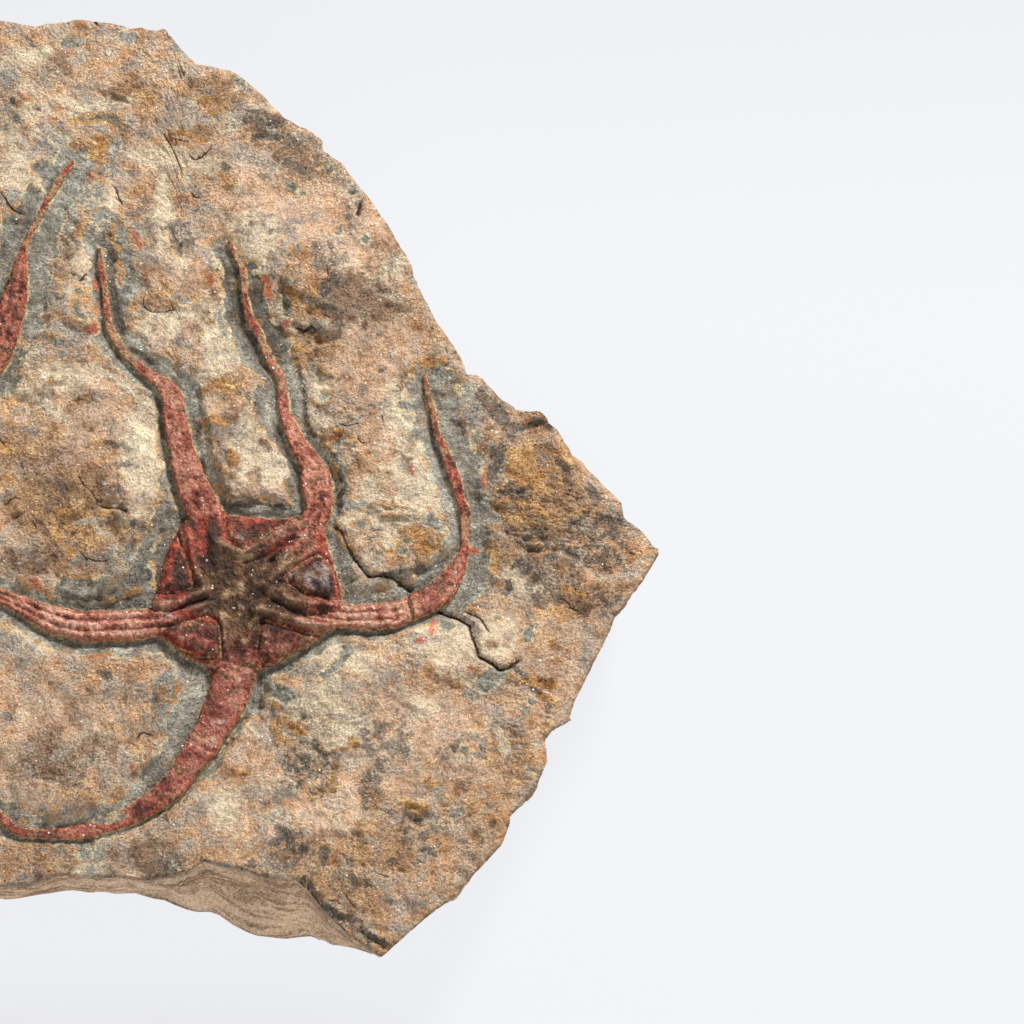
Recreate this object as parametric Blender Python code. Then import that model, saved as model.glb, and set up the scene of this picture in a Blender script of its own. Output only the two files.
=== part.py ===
"""Brittle star fossil: two brittle stars in relief on a broken slab of siltstone that lies on its back.

Built in metres with +Z up. The origin is on the resting plane under the middle of the slab, +X runs to the
slab's pointed end and +Y to its rounded top edge. Every length below is in millimetres, and every list of
points is laid out on the fossil face as seen from above.
"""

import math

import bmesh
import bpy
import numpy as np
from mathutils import Vector, noise

MM = 0.001

# Driving dimensions of the slab.
SLAB_THICKNESS = 26.0
FACE_CELLS = 22
SIDE_BANDS = 3
FOOT_INSET = 6.0
FACE_SWELL = 0.7
BACK_RISE = 4.0
BACK_FLAT_SHARE = 0.72

# The broken edge of the fossil face, anticlockwise from the lowest tip: four points for each face cell.
RIM = [
    (56, -109), (61, -104.5), (66, -100), (71.5, -95.5), (76.5, -90), (81.5, -84.5), (84, -78), (88.5, -72.5),
    (91.5, -66), (91, -61), (92.5, -58.5), (96, -56.5), (97.5, -51.5), (100.5, -45.5), (104, -38.5),
    (107, -32), (112, -25.5), (116, -18.5), (116, -17), (113, -12.5), (108.5, -9), (108, -5.5), (105, -2.5),
    (97.5, 6), (93, 12.5), (90, 16), (86.5, 16), (82, 17.5), (76.5, 23.5), (74, 23.5), (72, 28.5), (67, 35.5),
    (63.5, 43), (61, 50), (56.5, 58), (51.5, 65.5), (46.5, 72.5), (41.5, 77), (41, 79.5), (39, 81),
    (32, 85.5), (27.5, 91), (20, 96.5), (12, 98.5), (9.5, 101.5), (5, 107), (-3, 108), (-15.5, 109),
    (-24.5, 107), (-32.5, 108.5), (-39, 107), (-46, 104), (-57, 102), (-66, 96), (-76, 90), (-85.5, 82.5),
    (-95.5, 74), (-100.5, 62), (-107.5, 49), (-108, 38), (-113, 24), (-116, 10), (-112.5, -4), (-113.5, -18),
    (-109, -31.5), (-103, -45.5), (-100, -56.5), (-92, -68), (-86, -78), (-78.5, -84.5), (-67.5, -90),
    (-56.5, -92.5), (-45.5, -94.5), (-35, -93.5), (-26.5, -94), (-19, -93.5), (-13.5, -91.5), (-8, -92),
    (-0.5, -92), (6, -92), (13.5, -90.5), (17.5, -88), (25.5, -90), (32, -92), (37.5, -92.5), (40, -94.5),
    (43.5, -99), (49, -104.5),
]

# The lower edge breaks outwards into a foot below the two stars: its middle, its spread and its reach.
FOOT_X = 25.0
FOOT_SPREAD = 13.0
FOOT_REACH = 14.0

# Flake scars on the face and the edges: x, y, half length, half width, depth, turn in degrees.
SCARS = {
    "shoulder_scar": (93, -2, 19, 16, 2.6, -38),
    "hollow_scar": (-18, -60, 15, 11, 1.6, -12),
    "crown_scar": (44, 52, 12, 9, 1.4, 40),
    "lower_scar": (52, -93, 12, 7, 1.3, 35),
}
SCAR_BULGE = 5.0

# Brittle stars: how deep the arms lie in their dug channels, and how high they stand.
CHANNEL_DEPTH_SHARE = 0.34
CHANNEL_DEPTH_LEAST = 0.25
CHANNEL_MARGIN = 1.1
DISC_DEPTH = 1.5
DISC_CROWN = 1.9
DISC_SEGMENTS = 40
DISC_RINGS = 5
GAP = 0.3
ARM_STEP = 5.0

# Section of an arm as shares of its half width: two ridges beside the groove down its middle.
ARM_SECTION = [(-1, 0), (-0.9, 0.4), (-0.45, 0.62), (0, 0.46), (0.45, 0.62), (0.9, 0.4), (1, 0)]
CHANNEL_SECTION = [(-1, 0), (-1.45, 1.6), (-1.45, 6), (1.45, 6), (1.45, 1.6), (1, 0)]

# The large star: its disc's outline, and its arms from the disc to the tip as x, y, width.
LARGE_STAR_CENTRE = (25.5, -27.5)
LARGE_STAR_DISC = [
    (46.5, -29), (45, -22), (43.5, -17), (41, -11.5), (37, -10), (32.5, -11), (26, -10.5), (21, -9.5),
    (16, -9), (10.5, -12.5), (8, -18.5), (6.5, -25), (5, -30.5), (6.5, -36), (9, -39), (13, -42), (18, -44),
    (23.5, -45.5), (29.5, -44.5), (35.5, -41.5), (39.5, -39), (43, -36.5), (46.5, -35),
]
LARGE_STAR_ARMS = {
    "upper_left": [
        (20, -17.5, 7.5), (16.5, -10, 8), (13.5, -3, 7), (11, 4, 6), (9.5, 11, 5.5), (8.5, 17, 5),
        (6.5, 20.5, 3.5), (3, 23, 2.5), (-0.5, 26, 2), (-3.5, 29.5, 2), (-5.5, 33.5, 2), (-6.5, 38, 1.5),
        (-7, 43, 1.5), (-8, 48, 1.5), (-8.5, 53, 1),
    ],
    "upper": [
        (34, -19.5, 5.5), (38.5, -14.5, 6), (41, -9, 6), (41, -5.5, 7), (40.5, -1.5, 7), (39.5, 2, 5.5),
        (37, 6, 4), (35, 10, 3.5), (33.5, 14, 2.5), (33, 18, 2.5), (32.5, 22, 2), (30.5, 25.5, 2),
        (29, 28.5, 2), (27.5, 32.5, 2), (25.5, 36, 2), (24.5, 40, 1.5), (24, 44, 1.5), (23.5, 48, 1.5),
        (22, 51, 1), (20.5, 55, 0.8),
    ],
    "right": [
        (34, -30.5, 5.5), (42, -32, 5.5), (48.5, -33, 5.5), (55, -33, 6), (59.5, -32, 5.5), (63.5, -30, 6),
        (67.5, -27.5, 6), (70, -24.5, 5), (72, -21, 3.5), (73.5, -17, 2), (73.5, -13.5, 2), (73.5, -9, 2.5),
        (72.5, -6, 2), (71.5, -2, 2.5), (70, 2.5, 2.5), (69, 5.5, 2), (67, 10, 1.5), (66.5, 13.5, 1.5),
        (65.5, 17, 1.5), (65, 19.5, 1.5), (64.5, 23, 0.8),
    ],
    "lower": [
        (24.5, -36.5, 7), (23.5, -44.5, 9), (22.5, -48.5, 9), (21.5, -52, 8.5), (19.5, -56, 8),
        (18, -59.5, 7.5), (15.5, -63.5, 7), (13, -67.5, 6), (10, -71.5, 5.5), (5.5, -75, 5), (1, -78, 4),
        (-4, -80, 3.5), (-9.5, -81.5, 3), (-14, -82, 2.5), (-19, -82, 2), (-23, -81.5, 2), (-26, -79, 2),
        (-29.5, -75.5, 2), (-32, -70, 1.5), (-34, -64.5, 1.5), (-35, -59, 1), (-35, -53.5, 0.8),
    ],
    "left": [
        (14.5, -32, 5.5), (8, -34, 6), (2.5, -34.5, 7), (-4, -35, 7), (-10.5, -35, 7), (-17, -33.5, 6),
        (-22.5, -31, 4.5), (-28, -28.5, 3.5), (-34, -26, 3), (-39.5, -24, 2.5), (-46, -23.5, 2),
        (-52, -24, 2), (-57.5, -26, 1.5), (-63, -29, 1.5), (-67, -33, 1), (-70, -37.5, 0.8),
    ],
}

# The small star at the other end of the slab.
SMALL_STAR_CENTRE = (-58, 7)
SMALL_STAR_RADIUS = 14.5
SMALL_STAR_CORNER = 0.1
SMALL_STAR_TURN = 35
SMALL_STAR_ARMS = {
    "upper_right": [
        (-49, 12.5, 6), (-43.5, 15, 6), (-38, 19, 6.5), (-33, 25, 7), (-30, 31.5, 7), (-28, 37.5, 6.5),
        (-26.5, 45, 4.5), (-25.5, 52, 2), (-24, 56.5, 1.5), (-22, 61, 1.5), (-20, 65.5, 1.5),
        (-17.5, 70, 1.5), (-15, 74, 1),
    ],
    "upper": [
        (-61, 16, 6), (-64, 23, 6.5), (-67, 32, 6), (-67, 41, 4.5), (-64, 50, 3), (-61, 58, 2),
        (-61, 66, 1.5), (-65, 73, 1.5), (-71, 78, 0.8),
    ],
    "left": [
        (-68, 7, 6), (-75, 8, 6.5), (-84, 10, 5.5), (-91, 15, 4), (-96, 23, 2.5), (-98, 32, 2),
        (-96, 41, 1.5), (-91, 48, 0.8),
    ],
    "lower_left": [
        (-61, -3, 6), (-64.5, -9, 6.5), (-71, -16, 5.5), (-79, -21, 4), (-88, -25, 2.5), (-95, -31, 2),
        (-98, -39, 1.5), (-96, -47, 0.8),
    ],
    "lower_right": [(-50, -0.5, 6), (-45, -5.5, 5.5), (-41, -10, 4.5), (-38.5, -14, 4)],
}

STONE = (0.42, 0.30, 0.20, 1.0)
FOSSIL = (0.25, 0.07, 0.045, 1.0)
DISC_STONE = (0.12, 0.055, 0.035, 1.0)


def smooth_step(low, high, value):
    """0 below low, 1 above high, and a soft S between them."""
    share = np.clip((np.asarray(value, float) - low) / (high - low), 0, 1)
    return share * share * (3 - 2 * share)


def face_height(x, y):
    """Height of the undug face: level, thinner towards the point and the top edge, and gently uneven."""
    thinner = 2 * smooth_step(50, 116, x) + 2 * smooth_step(60, 109, y)
    swell = np.sin(x / 17 + 0.6) * np.cos(y / 23 - 0.4) + 0.5 * np.sin((x + y) / 11)
    return SLAB_THICKNESS - thinner + FACE_SWELL * swell


def material(name, colour, roughness):
    """A matt stone finish."""
    made = bpy.data.materials.new(name)
    made.use_nodes = True
    shader = made.node_tree.nodes["Principled BSDF"]
    shader.inputs["Base Color"].default_value = colour
    shader.inputs["Roughness"].default_value = roughness
    shader.inputs["Metallic"].default_value = 0.0
    return made


def collection(name):
    """A new collection in the scene."""
    made = bpy.data.collections.new(name)
    bpy.context.scene.collection.children.link(made)
    return made


def add_object(name, data, group):
    """A new object for data, in a collection."""
    made = bpy.data.objects.new(name, data)
    group.objects.link(made)
    return made


def around_square(across, along):
    """A point's place in the square: its share out from the middle, and its turn from the lower right corner."""
    out = np.maximum(np.abs(across), np.abs(along))
    safe = np.where(out > 0, out, 1)
    a, b = across / safe, along / safe
    right, top, left = (1 + b) / 8, 0.25 + (1 - a) / 8, 0.5 + (1 - b) / 8
    bottom = 0.75 + (1 + a) / 8
    near = 1 - 1e-6
    turn = np.where(a > near, right, np.where(b > near, top, np.where(a < -near, left, bottom)))
    return out, turn % 1


def rim_at(turn):
    """The rim point at a turn from 0 to 1, on straight breaks between the rim's points."""
    points = np.array(RIM + RIM[:1], float)
    steps = np.arange(len(points))
    place = turn * len(RIM)
    return np.stack([np.interp(place, steps, points[:, 0]), np.interp(place, steps, points[:, 1])], -1)


def foot_at(turn):
    """The foot of the side under a rim point: undercut all round, and thrown outwards at the lower edge."""
    rim = rim_at(turn)
    reach = FOOT_REACH * np.exp(-(((rim[:, 0] - FOOT_X) / FOOT_SPREAD) ** 2)) * (rim[:, 1] < 0)
    length = np.linalg.norm(rim, axis=1, keepdims=True)
    return rim * (1 + (reach - FOOT_INSET)[:, None] / length)


def layer_offset(turn, level):
    """How far a bed of the stone stands in or out of the straight side, which makes its ledges."""
    angle = math.tau * turn
    spots = np.column_stack([9 * np.cos(angle), 9 * np.sin(angle), 4 * level])
    return np.array([noise.noise(Vector(spot)) for spot in spots]) * 3.0 - 1.2


def slab_points(cube):
    """Maps a cube from -1 to 1 onto the slab: its top to the face, its sides to the broken edge, its foot to
    the back."""
    out, turn = around_square(cube[:, 0], cube[:, 1])
    level = (cube[:, 2] + 1) / 2
    rim, foot = rim_at(turn), foot_at(turn)
    side = (level > 0) & (level < 1)
    blend = smooth_step(0, 1, level)[:, None]
    edge = foot + (rim - foot) * blend
    length = np.linalg.norm(edge, axis=1, keepdims=True)
    edge *= 1 + np.where(side, layer_offset(turn, level), 0)[:, None] / length
    flat = edge * out[:, None]
    face = face_height(flat[:, 0], flat[:, 1])
    back = BACK_RISE * smooth_step(BACK_FLAT_SHARE, 1, out) * (0.55 + 0.45 * np.sin(turn * math.tau * 5 + 1))
    return np.column_stack([flat, back + (face - back) * level]) * MM


def slab_block(stone, group):
    """The slab before anything is dug out of it: a cube cut into cells and mapped onto the stone."""
    mesh = bpy.data.meshes.new("matrix_slab")
    cage = bmesh.new()
    bmesh.ops.create_cube(cage, size=2)
    upright = [e for e in cage.edges if abs(e.verts[0].co.z - e.verts[1].co.z) > 1]
    bmesh.ops.subdivide_edges(cage, edges=upright, cuts=SIDE_BANDS - 1)
    level = [e for e in cage.edges if abs(e.verts[0].co.z - e.verts[1].co.z) < 1e-6]
    bmesh.ops.subdivide_edges(cage, edges=level, cuts=FACE_CELLS - 1, use_grid_fill=True)
    cage.verts.ensure_lookup_table()
    placed = slab_points(np.array([v.co for v in cage.verts]))
    for vert, point in zip(cage.verts, placed):
        vert.co = point
    bmesh.ops.triangulate(cage, faces=cage.faces)
    bmesh.ops.recalc_face_normals(cage, faces=cage.faces)
    cage.to_mesh(mesh)
    cage.free()
    mesh.materials.append(stone)
    return add_object("matrix_slab", mesh, group)


def smooth_path(points, step):
    """Points a step apart on a Catmull-Rom curve through the given points. Every column is carried along."""
    given = np.array(points, float)
    ends = np.vstack([2 * given[0] - given[1], given, 2 * given[-1] - given[-2]])
    share = np.linspace(0, 1, 12, endpoint=False)[:, None]
    runs = []
    for before, start, end, after in zip(ends, ends[1:], ends[2:], ends[3:]):
        bend = 2 * before - 5 * start + 4 * end - after
        twist = -before + 3 * start - 3 * end + after
        runs.append(0.5 * (2 * start + (end - before) * share + bend * share**2 + twist * share**3))
    dense = np.vstack([*runs, given[-1:]])
    along = np.r_[0, np.cumsum(np.linalg.norm(np.diff(dense[:, :2], axis=0), axis=1))]
    stops = np.linspace(0, along[-1], max(2, round(along[-1] / step)) + 1)
    return np.column_stack([np.interp(stops, along, column) for column in dense.T])


def lengthened(path, reach):
    """The path drawn out straight past both of its ends."""
    first, last = path[0] - path[1], path[-1] - path[-2]
    start, end = path[0].copy(), path[-1].copy()
    start[:2] += reach * first[:2] / np.linalg.norm(first[:2])
    end[:2] += reach * last[:2] / np.linalg.norm(last[:2])
    return np.vstack([start, path, end])


def channel_depth(width):
    """How deep the channel's floor lies below the face beside an arm of this width."""
    return CHANNEL_DEPTH_LEAST + CHANNEL_DEPTH_SHARE * np.asarray(width) / 2


def section_curve(name, outline, group):
    """A closed flat curve that serves as the section of a swept piece."""
    data = bpy.data.curves.new(name, "CURVE")
    data.dimensions = "2D"
    data.fill_mode = "NONE"
    spline = data.splines.new("POLY")
    spline.points.add(len(outline) - 1)
    for point, (x, y) in zip(spline.points, outline):
        point.co = (x * MM, y * MM, 0, 1)
    spline.use_cyclic_u = True
    guide = add_object(name, data, group)
    guide.hide_render = True
    guide.display_type = "WIRE"
    return guide


def swept(name, path, heights, sizes, section, group):
    """A solid with its section carried along a path and scaled by sizes, with closed ends, as a mesh object."""
    data = bpy.data.curves.new(name + "_path", "CURVE")
    data.dimensions = "3D"
    data.twist_mode = "Z_UP"
    data.bevel_mode = "OBJECT"
    data.bevel_object = section
    data.use_fill_caps = True
    spline = data.splines.new("POLY")
    spline.points.add(len(path) - 1)
    for point, (x, y), z, size in zip(spline.points, path, heights, sizes):
        point.co = (x * MM, y * MM, z * MM, 1)
        point.radius = size
    carrier = add_object(name + "_path", data, group)
    bpy.context.view_layer.update()
    evaluated = carrier.evaluated_get(bpy.context.evaluated_depsgraph_get())
    mesh = bpy.data.meshes.new_from_object(evaluated)
    bpy.data.objects.remove(carrier)
    return add_object(name, closed(mesh), group)


def closed(mesh):
    """The mesh with its caps welded on, triangulated and facing outwards."""
    work = bmesh.new()
    work.from_mesh(mesh)
    bmesh.ops.remove_doubles(work, verts=work.verts, dist=0.00001)
    bmesh.ops.triangulate(work, faces=work.faces)
    bmesh.ops.recalc_face_normals(work, faces=work.faces)
    work.to_mesh(mesh)
    work.free()
    return mesh


def cutter(made):
    """Marks a solid that only cuts others."""
    made.hide_render = True
    made.display_type = "WIRE"
    return made


def cut(body, tool):
    """Takes tool out of body with a Boolean that stays on the body."""
    modifier = body.modifiers.new("cut_" + tool.name, "BOOLEAN")
    modifier.operation = "DIFFERENCE"
    modifier.solver = "EXACT"
    modifier.object = tool


def outline_prism(name, centre, outline, margin, low, high, group):
    """An upright prism on an outline that is widened by margin, from low to high."""
    data = bpy.data.curves.new(name, "CURVE")
    data.dimensions = "2D"
    data.fill_mode = "BOTH"
    data.extrude = (high - low) / 2 * MM
    points = np.array(outline, float) - centre
    points *= 1 + margin / np.linalg.norm(points, axis=1, keepdims=True)
    spline = data.splines.new("POLY")
    spline.points.add(len(points) - 1)
    for point, (x, y) in zip(spline.points, points + centre):
        point.co = (x * MM, y * MM, 0, 1)
    spline.use_cyclic_u = True
    carrier = add_object(name + "_outline", data, group)
    bpy.context.view_layer.update()
    evaluated = carrier.evaluated_get(bpy.context.evaluated_depsgraph_get())
    mesh = bpy.data.meshes.new_from_object(evaluated)
    bpy.data.objects.remove(carrier)
    made = add_object(name, closed(mesh), group)
    made.location.z = (low + high) / 2 * MM
    return cutter(made)


def scar_cutter(name, x, y, half_length, half_width, depth, turn, group):
    """A flattened ball whose lowest part bites a shallow scar of the given size into the face."""
    widen = 1 / math.sqrt(1 - ((SCAR_BULGE - depth) / SCAR_BULGE) ** 2)
    mesh = bpy.data.meshes.new(name)
    ball = bmesh.new()
    bmesh.ops.create_uvsphere(ball, u_segments=20, v_segments=12, radius=1)
    for vert in ball.verts:
        vert.co.x *= half_length * widen * MM
        vert.co.y *= half_width * widen * MM
        vert.co.z *= SCAR_BULGE * MM
    ball.to_mesh(mesh)
    ball.free()
    made = add_object(name, mesh, group)
    made.location = (x * MM, y * MM, (float(face_height(x, y)) + SCAR_BULGE - depth) * MM)
    made.rotation_euler.z = math.radians(turn)
    return cutter(made)


def star_disc(name, centre, outline, arm_angles, finish, group):
    """A star's disc: the upper half of a ball spread over the outline, with a ridge along each side of every
    arm's root, five swollen plates between them, and a flat underside."""
    mesh = bpy.data.meshes.new(name)
    ball = bmesh.new()
    bmesh.ops.create_uvsphere(ball, u_segments=DISC_SEGMENTS, v_segments=2 * DISC_RINGS, radius=1)
    low = [v for v in ball.verts if v.co.z < -1e-6]
    bmesh.ops.delete(ball, geom=low, context="VERTS")
    bmesh.ops.edgeloop_fill(ball, edges=[e for e in ball.edges if e.is_boundary])
    outline_points = np.array(outline, float) - centre
    angles = np.arctan2(outline_points[:, 1], outline_points[:, 0])
    order = np.argsort(angles)
    radii = np.linalg.norm(outline_points, axis=1)[order]
    under = float(face_height(*centre)) - DISC_DEPTH + GAP
    for vert in ball.verts:
        angle = math.atan2(vert.co.y, vert.co.x)
        share = math.acos(min(1, max(0, vert.co.z))) / (math.pi / 2)
        radius = float(np.interp(angle, angles[order], radii, period=math.tau))
        x, y = share * radius * math.cos(angle), share * radius * math.sin(angle)
        height = disc_height(share, x, y, arm_angles) if share < 0.999 else 0
        vert.co = ((centre[0] + x) * MM, (centre[1] + y) * MM, (under + height) * MM)
    bmesh.ops.triangulate(ball, faces=ball.faces)
    bmesh.ops.recalc_face_normals(ball, faces=ball.faces)
    ball.to_mesh(mesh)
    ball.free()
    mesh.materials.append(finish)
    mesh.shade_smooth()
    mesh.set_sharp_from_angle(angle=math.radians(50))
    return add_object(name, mesh, group)


def disc_height(share, x, y, arm_angles):
    """Height of the disc above its underside at a share of the way out and an offset from its centre."""
    dome = DISC_CROWN * (1 - 0.35 * share**3)
    ridges = 0
    for angle in arm_angles:
        along = x * math.cos(angle) + y * math.sin(angle)
        beside = abs(-x * math.sin(angle) + y * math.cos(angle))
        if along > 0:
            ridges = max(ridges, math.exp(-(((beside - 1.9) / 1.0) ** 2)) * min(1, along / 5))
    return dome + 0.5 * ridges


def brittle_star(title, centre, outline, arms, finishes, groups, slab):
    """A star's disc and arms, each in its dug bed in the slab."""
    parts, cutters = groups
    arm_finish, disc_finish = finishes
    arm_section, channel_section = [
        section_curve(title + "_" + name, outline_points, cutters)
        for name, outline_points in (("arm_section", ARM_SECTION), ("channel_section", CHANNEL_SECTION))
    ]
    face = float(face_height(*centre))
    angles = [math.atan2(path[0][1] - centre[1], path[0][0] - centre[0]) for path in arms.values()]
    star_disc(title + "_disc", centre, outline, angles, disc_finish, parts)
    bed = outline_prism(title + "_bed", centre, outline, CHANNEL_MARGIN, face - DISC_DEPTH, face + 8, cutters)
    trim = outline_prism(title + "_trim", centre, outline, GAP, face - 8, face + 8, cutters)
    cut(slab, bed)
    for place, points in arms.items():
        path = smooth_path(points, ARM_STEP)
        width = path[:, 2]
        floor = face_height(path[:, 0], path[:, 1]) - channel_depth(width)
        name = f"{title}_arm_{place}"
        arm = swept(name, path[:, :2], floor + GAP, width / 2, arm_section, parts)
        arm.data.materials.clear()
        arm.data.materials.append(arm_finish)
        cut(arm, trim)
        dug = lengthened(np.column_stack([path, floor]), CHANNEL_MARGIN)
        sizes = dug[:, 2] / 2 + CHANNEL_MARGIN
        channel = swept(name + "_channel", dug[:, :2], dug[:, 3], sizes, channel_section, cutters)
        cut(slab, cutter(channel))


def small_disc_outline():
    """Outline of the small star's disc: a circle drawn out towards its five arms."""
    turn = math.radians(SMALL_STAR_TURN)
    angles = np.arange(20) * math.tau / 20
    radii = SMALL_STAR_RADIUS * (1 + SMALL_STAR_CORNER * np.cos(5 * (angles - turn)))
    return [
        (SMALL_STAR_CENTRE[0] + r * math.cos(a), SMALL_STAR_CENTRE[1] + r * math.sin(a))
        for r, a in zip(radii, angles)
    ]


def main():
    """Builds the slab and the two stars on it."""
    for old in list(bpy.data.objects):
        bpy.data.objects.remove(old)
    parts = collection("brittle_star_fossil")
    cutters = collection("cutters")
    slab = slab_block(material("siltstone", STONE, 0.85), parts)
    for name, form in SCARS.items():
        cut(slab, scar_cutter(name, *form, cutters))
    finishes = (material("red_fossil", FOSSIL, 0.75), material("dark_fossil", DISC_STONE, 0.75))
    groups = (parts, cutters)
    brittle_star(
        "large_star", LARGE_STAR_CENTRE, LARGE_STAR_DISC, LARGE_STAR_ARMS, finishes, groups, slab
    )
    brittle_star(
        "small_star", SMALL_STAR_CENTRE, small_disc_outline(), SMALL_STAR_ARMS, finishes, groups, slab
    )


main()
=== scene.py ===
"""Dresses the brittle star fossil: a broken slab of siltstone with two reddish brittle stars on its face.

The slab lies on its back, +X runs to its point and +Y to its rounded top edge. Shapes are worked out in
millimetres on whole arrays and turned into metres when they become a mesh.
"""

import math
from itertools import product

import bpy
import numpy as np
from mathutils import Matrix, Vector


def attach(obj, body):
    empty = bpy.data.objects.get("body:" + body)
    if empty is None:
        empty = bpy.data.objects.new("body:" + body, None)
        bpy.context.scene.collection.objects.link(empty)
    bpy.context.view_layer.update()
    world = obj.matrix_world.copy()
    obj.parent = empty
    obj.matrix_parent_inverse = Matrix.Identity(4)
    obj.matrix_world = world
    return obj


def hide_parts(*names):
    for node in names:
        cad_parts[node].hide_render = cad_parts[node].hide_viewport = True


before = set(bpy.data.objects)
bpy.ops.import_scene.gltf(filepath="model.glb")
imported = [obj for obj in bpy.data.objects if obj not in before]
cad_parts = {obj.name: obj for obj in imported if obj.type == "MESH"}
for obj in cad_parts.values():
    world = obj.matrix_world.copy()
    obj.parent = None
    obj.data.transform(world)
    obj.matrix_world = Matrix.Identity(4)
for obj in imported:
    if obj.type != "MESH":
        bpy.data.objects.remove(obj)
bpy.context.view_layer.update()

MM = 0.001

# ---- The slab's driving dimensions, as the solids have them ----

SLAB_THICKNESS = 26.0
# How far the side's foot stands out beyond the rim along the lower edge: x, reach. Elsewhere it is undercut.
FOOT_REACH = [
    (-60, -6), (-45, -4), (-28, -2.4), (-20, -3.6), (-12, -2.5), (1, -2.5), (8, -0.4), (14.5, 3.5),
    (21.5, 8), (25, 9.5), (30, 8.5), (35.5, 7.2), (39, 7), (42.5, 3.5), (46, 0), (50, -3.5), (56, -6),
]
BACK_RISE = 4.0
BACK_FLAT_SHARE = 0.72
BACK_PITS = 0.9
FACE_SWELL = 0.7

# The broken edge of the fossil face, anticlockwise from the lowest tip, as x, y.
RIM = [
    (56, -109), (61, -104.5), (66, -100), (71.5, -95.5), (76.5, -90), (81.5, -84.5), (84, -78),
    (88.5, -72.5), (91.5, -66), (91, -61), (92.5, -58.5), (96, -56.5), (97.5, -51.5), (100.5, -45.5),
    (104, -38.5), (107, -32), (112, -25.5), (116, -18.5), (116, -17), (113, -12.5), (108.5, -9),
    (108, -5.5), (105, -2.5), (97.5, 6), (93, 12.5), (90, 16), (86.5, 16), (82, 17.5), (76.5, 23.5),
    (74, 23.5), (72, 28.5), (67, 35.5), (63.5, 43), (61, 50), (56.5, 58), (51.5, 65.5), (46.5, 72.5),
    (41.5, 77), (41, 79.5), (39, 81), (32, 85.5), (27.5, 91), (20, 96.5), (12, 98.5), (9.5, 101.5),
    (5, 107), (-3, 108), (-15.5, 109), (-24.5, 107), (-32.5, 108.5), (-39, 107), (-46, 104), (-57, 102),
    (-66, 96), (-76, 90), (-85.5, 82.5), (-95.5, 74), (-100.5, 62), (-107.5, 49), (-108, 38), (-113, 24),
    (-116, 10), (-112.5, -4), (-113.5, -18), (-109, -31.5), (-103, -45.5), (-100, -56.5), (-92, -68),
    (-86, -78), (-78.5, -84.5), (-67.5, -90), (-56.5, -92.5), (-45.5, -94.5), (-35, -93.5), (-26.5, -94),
    (-19, -93.5), (-13.5, -91.5), (-8, -92), (-0.5, -92), (6, -92), (13.5, -90.5), (17.5, -88), (25.5, -90),
    (32, -92), (37.5, -92.5), (40, -94.5), (43.5, -99), (49, -104.5),
]

# ---- The two brittle stars: discs, and arms from the disc to the tip as x, y, width ----

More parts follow.
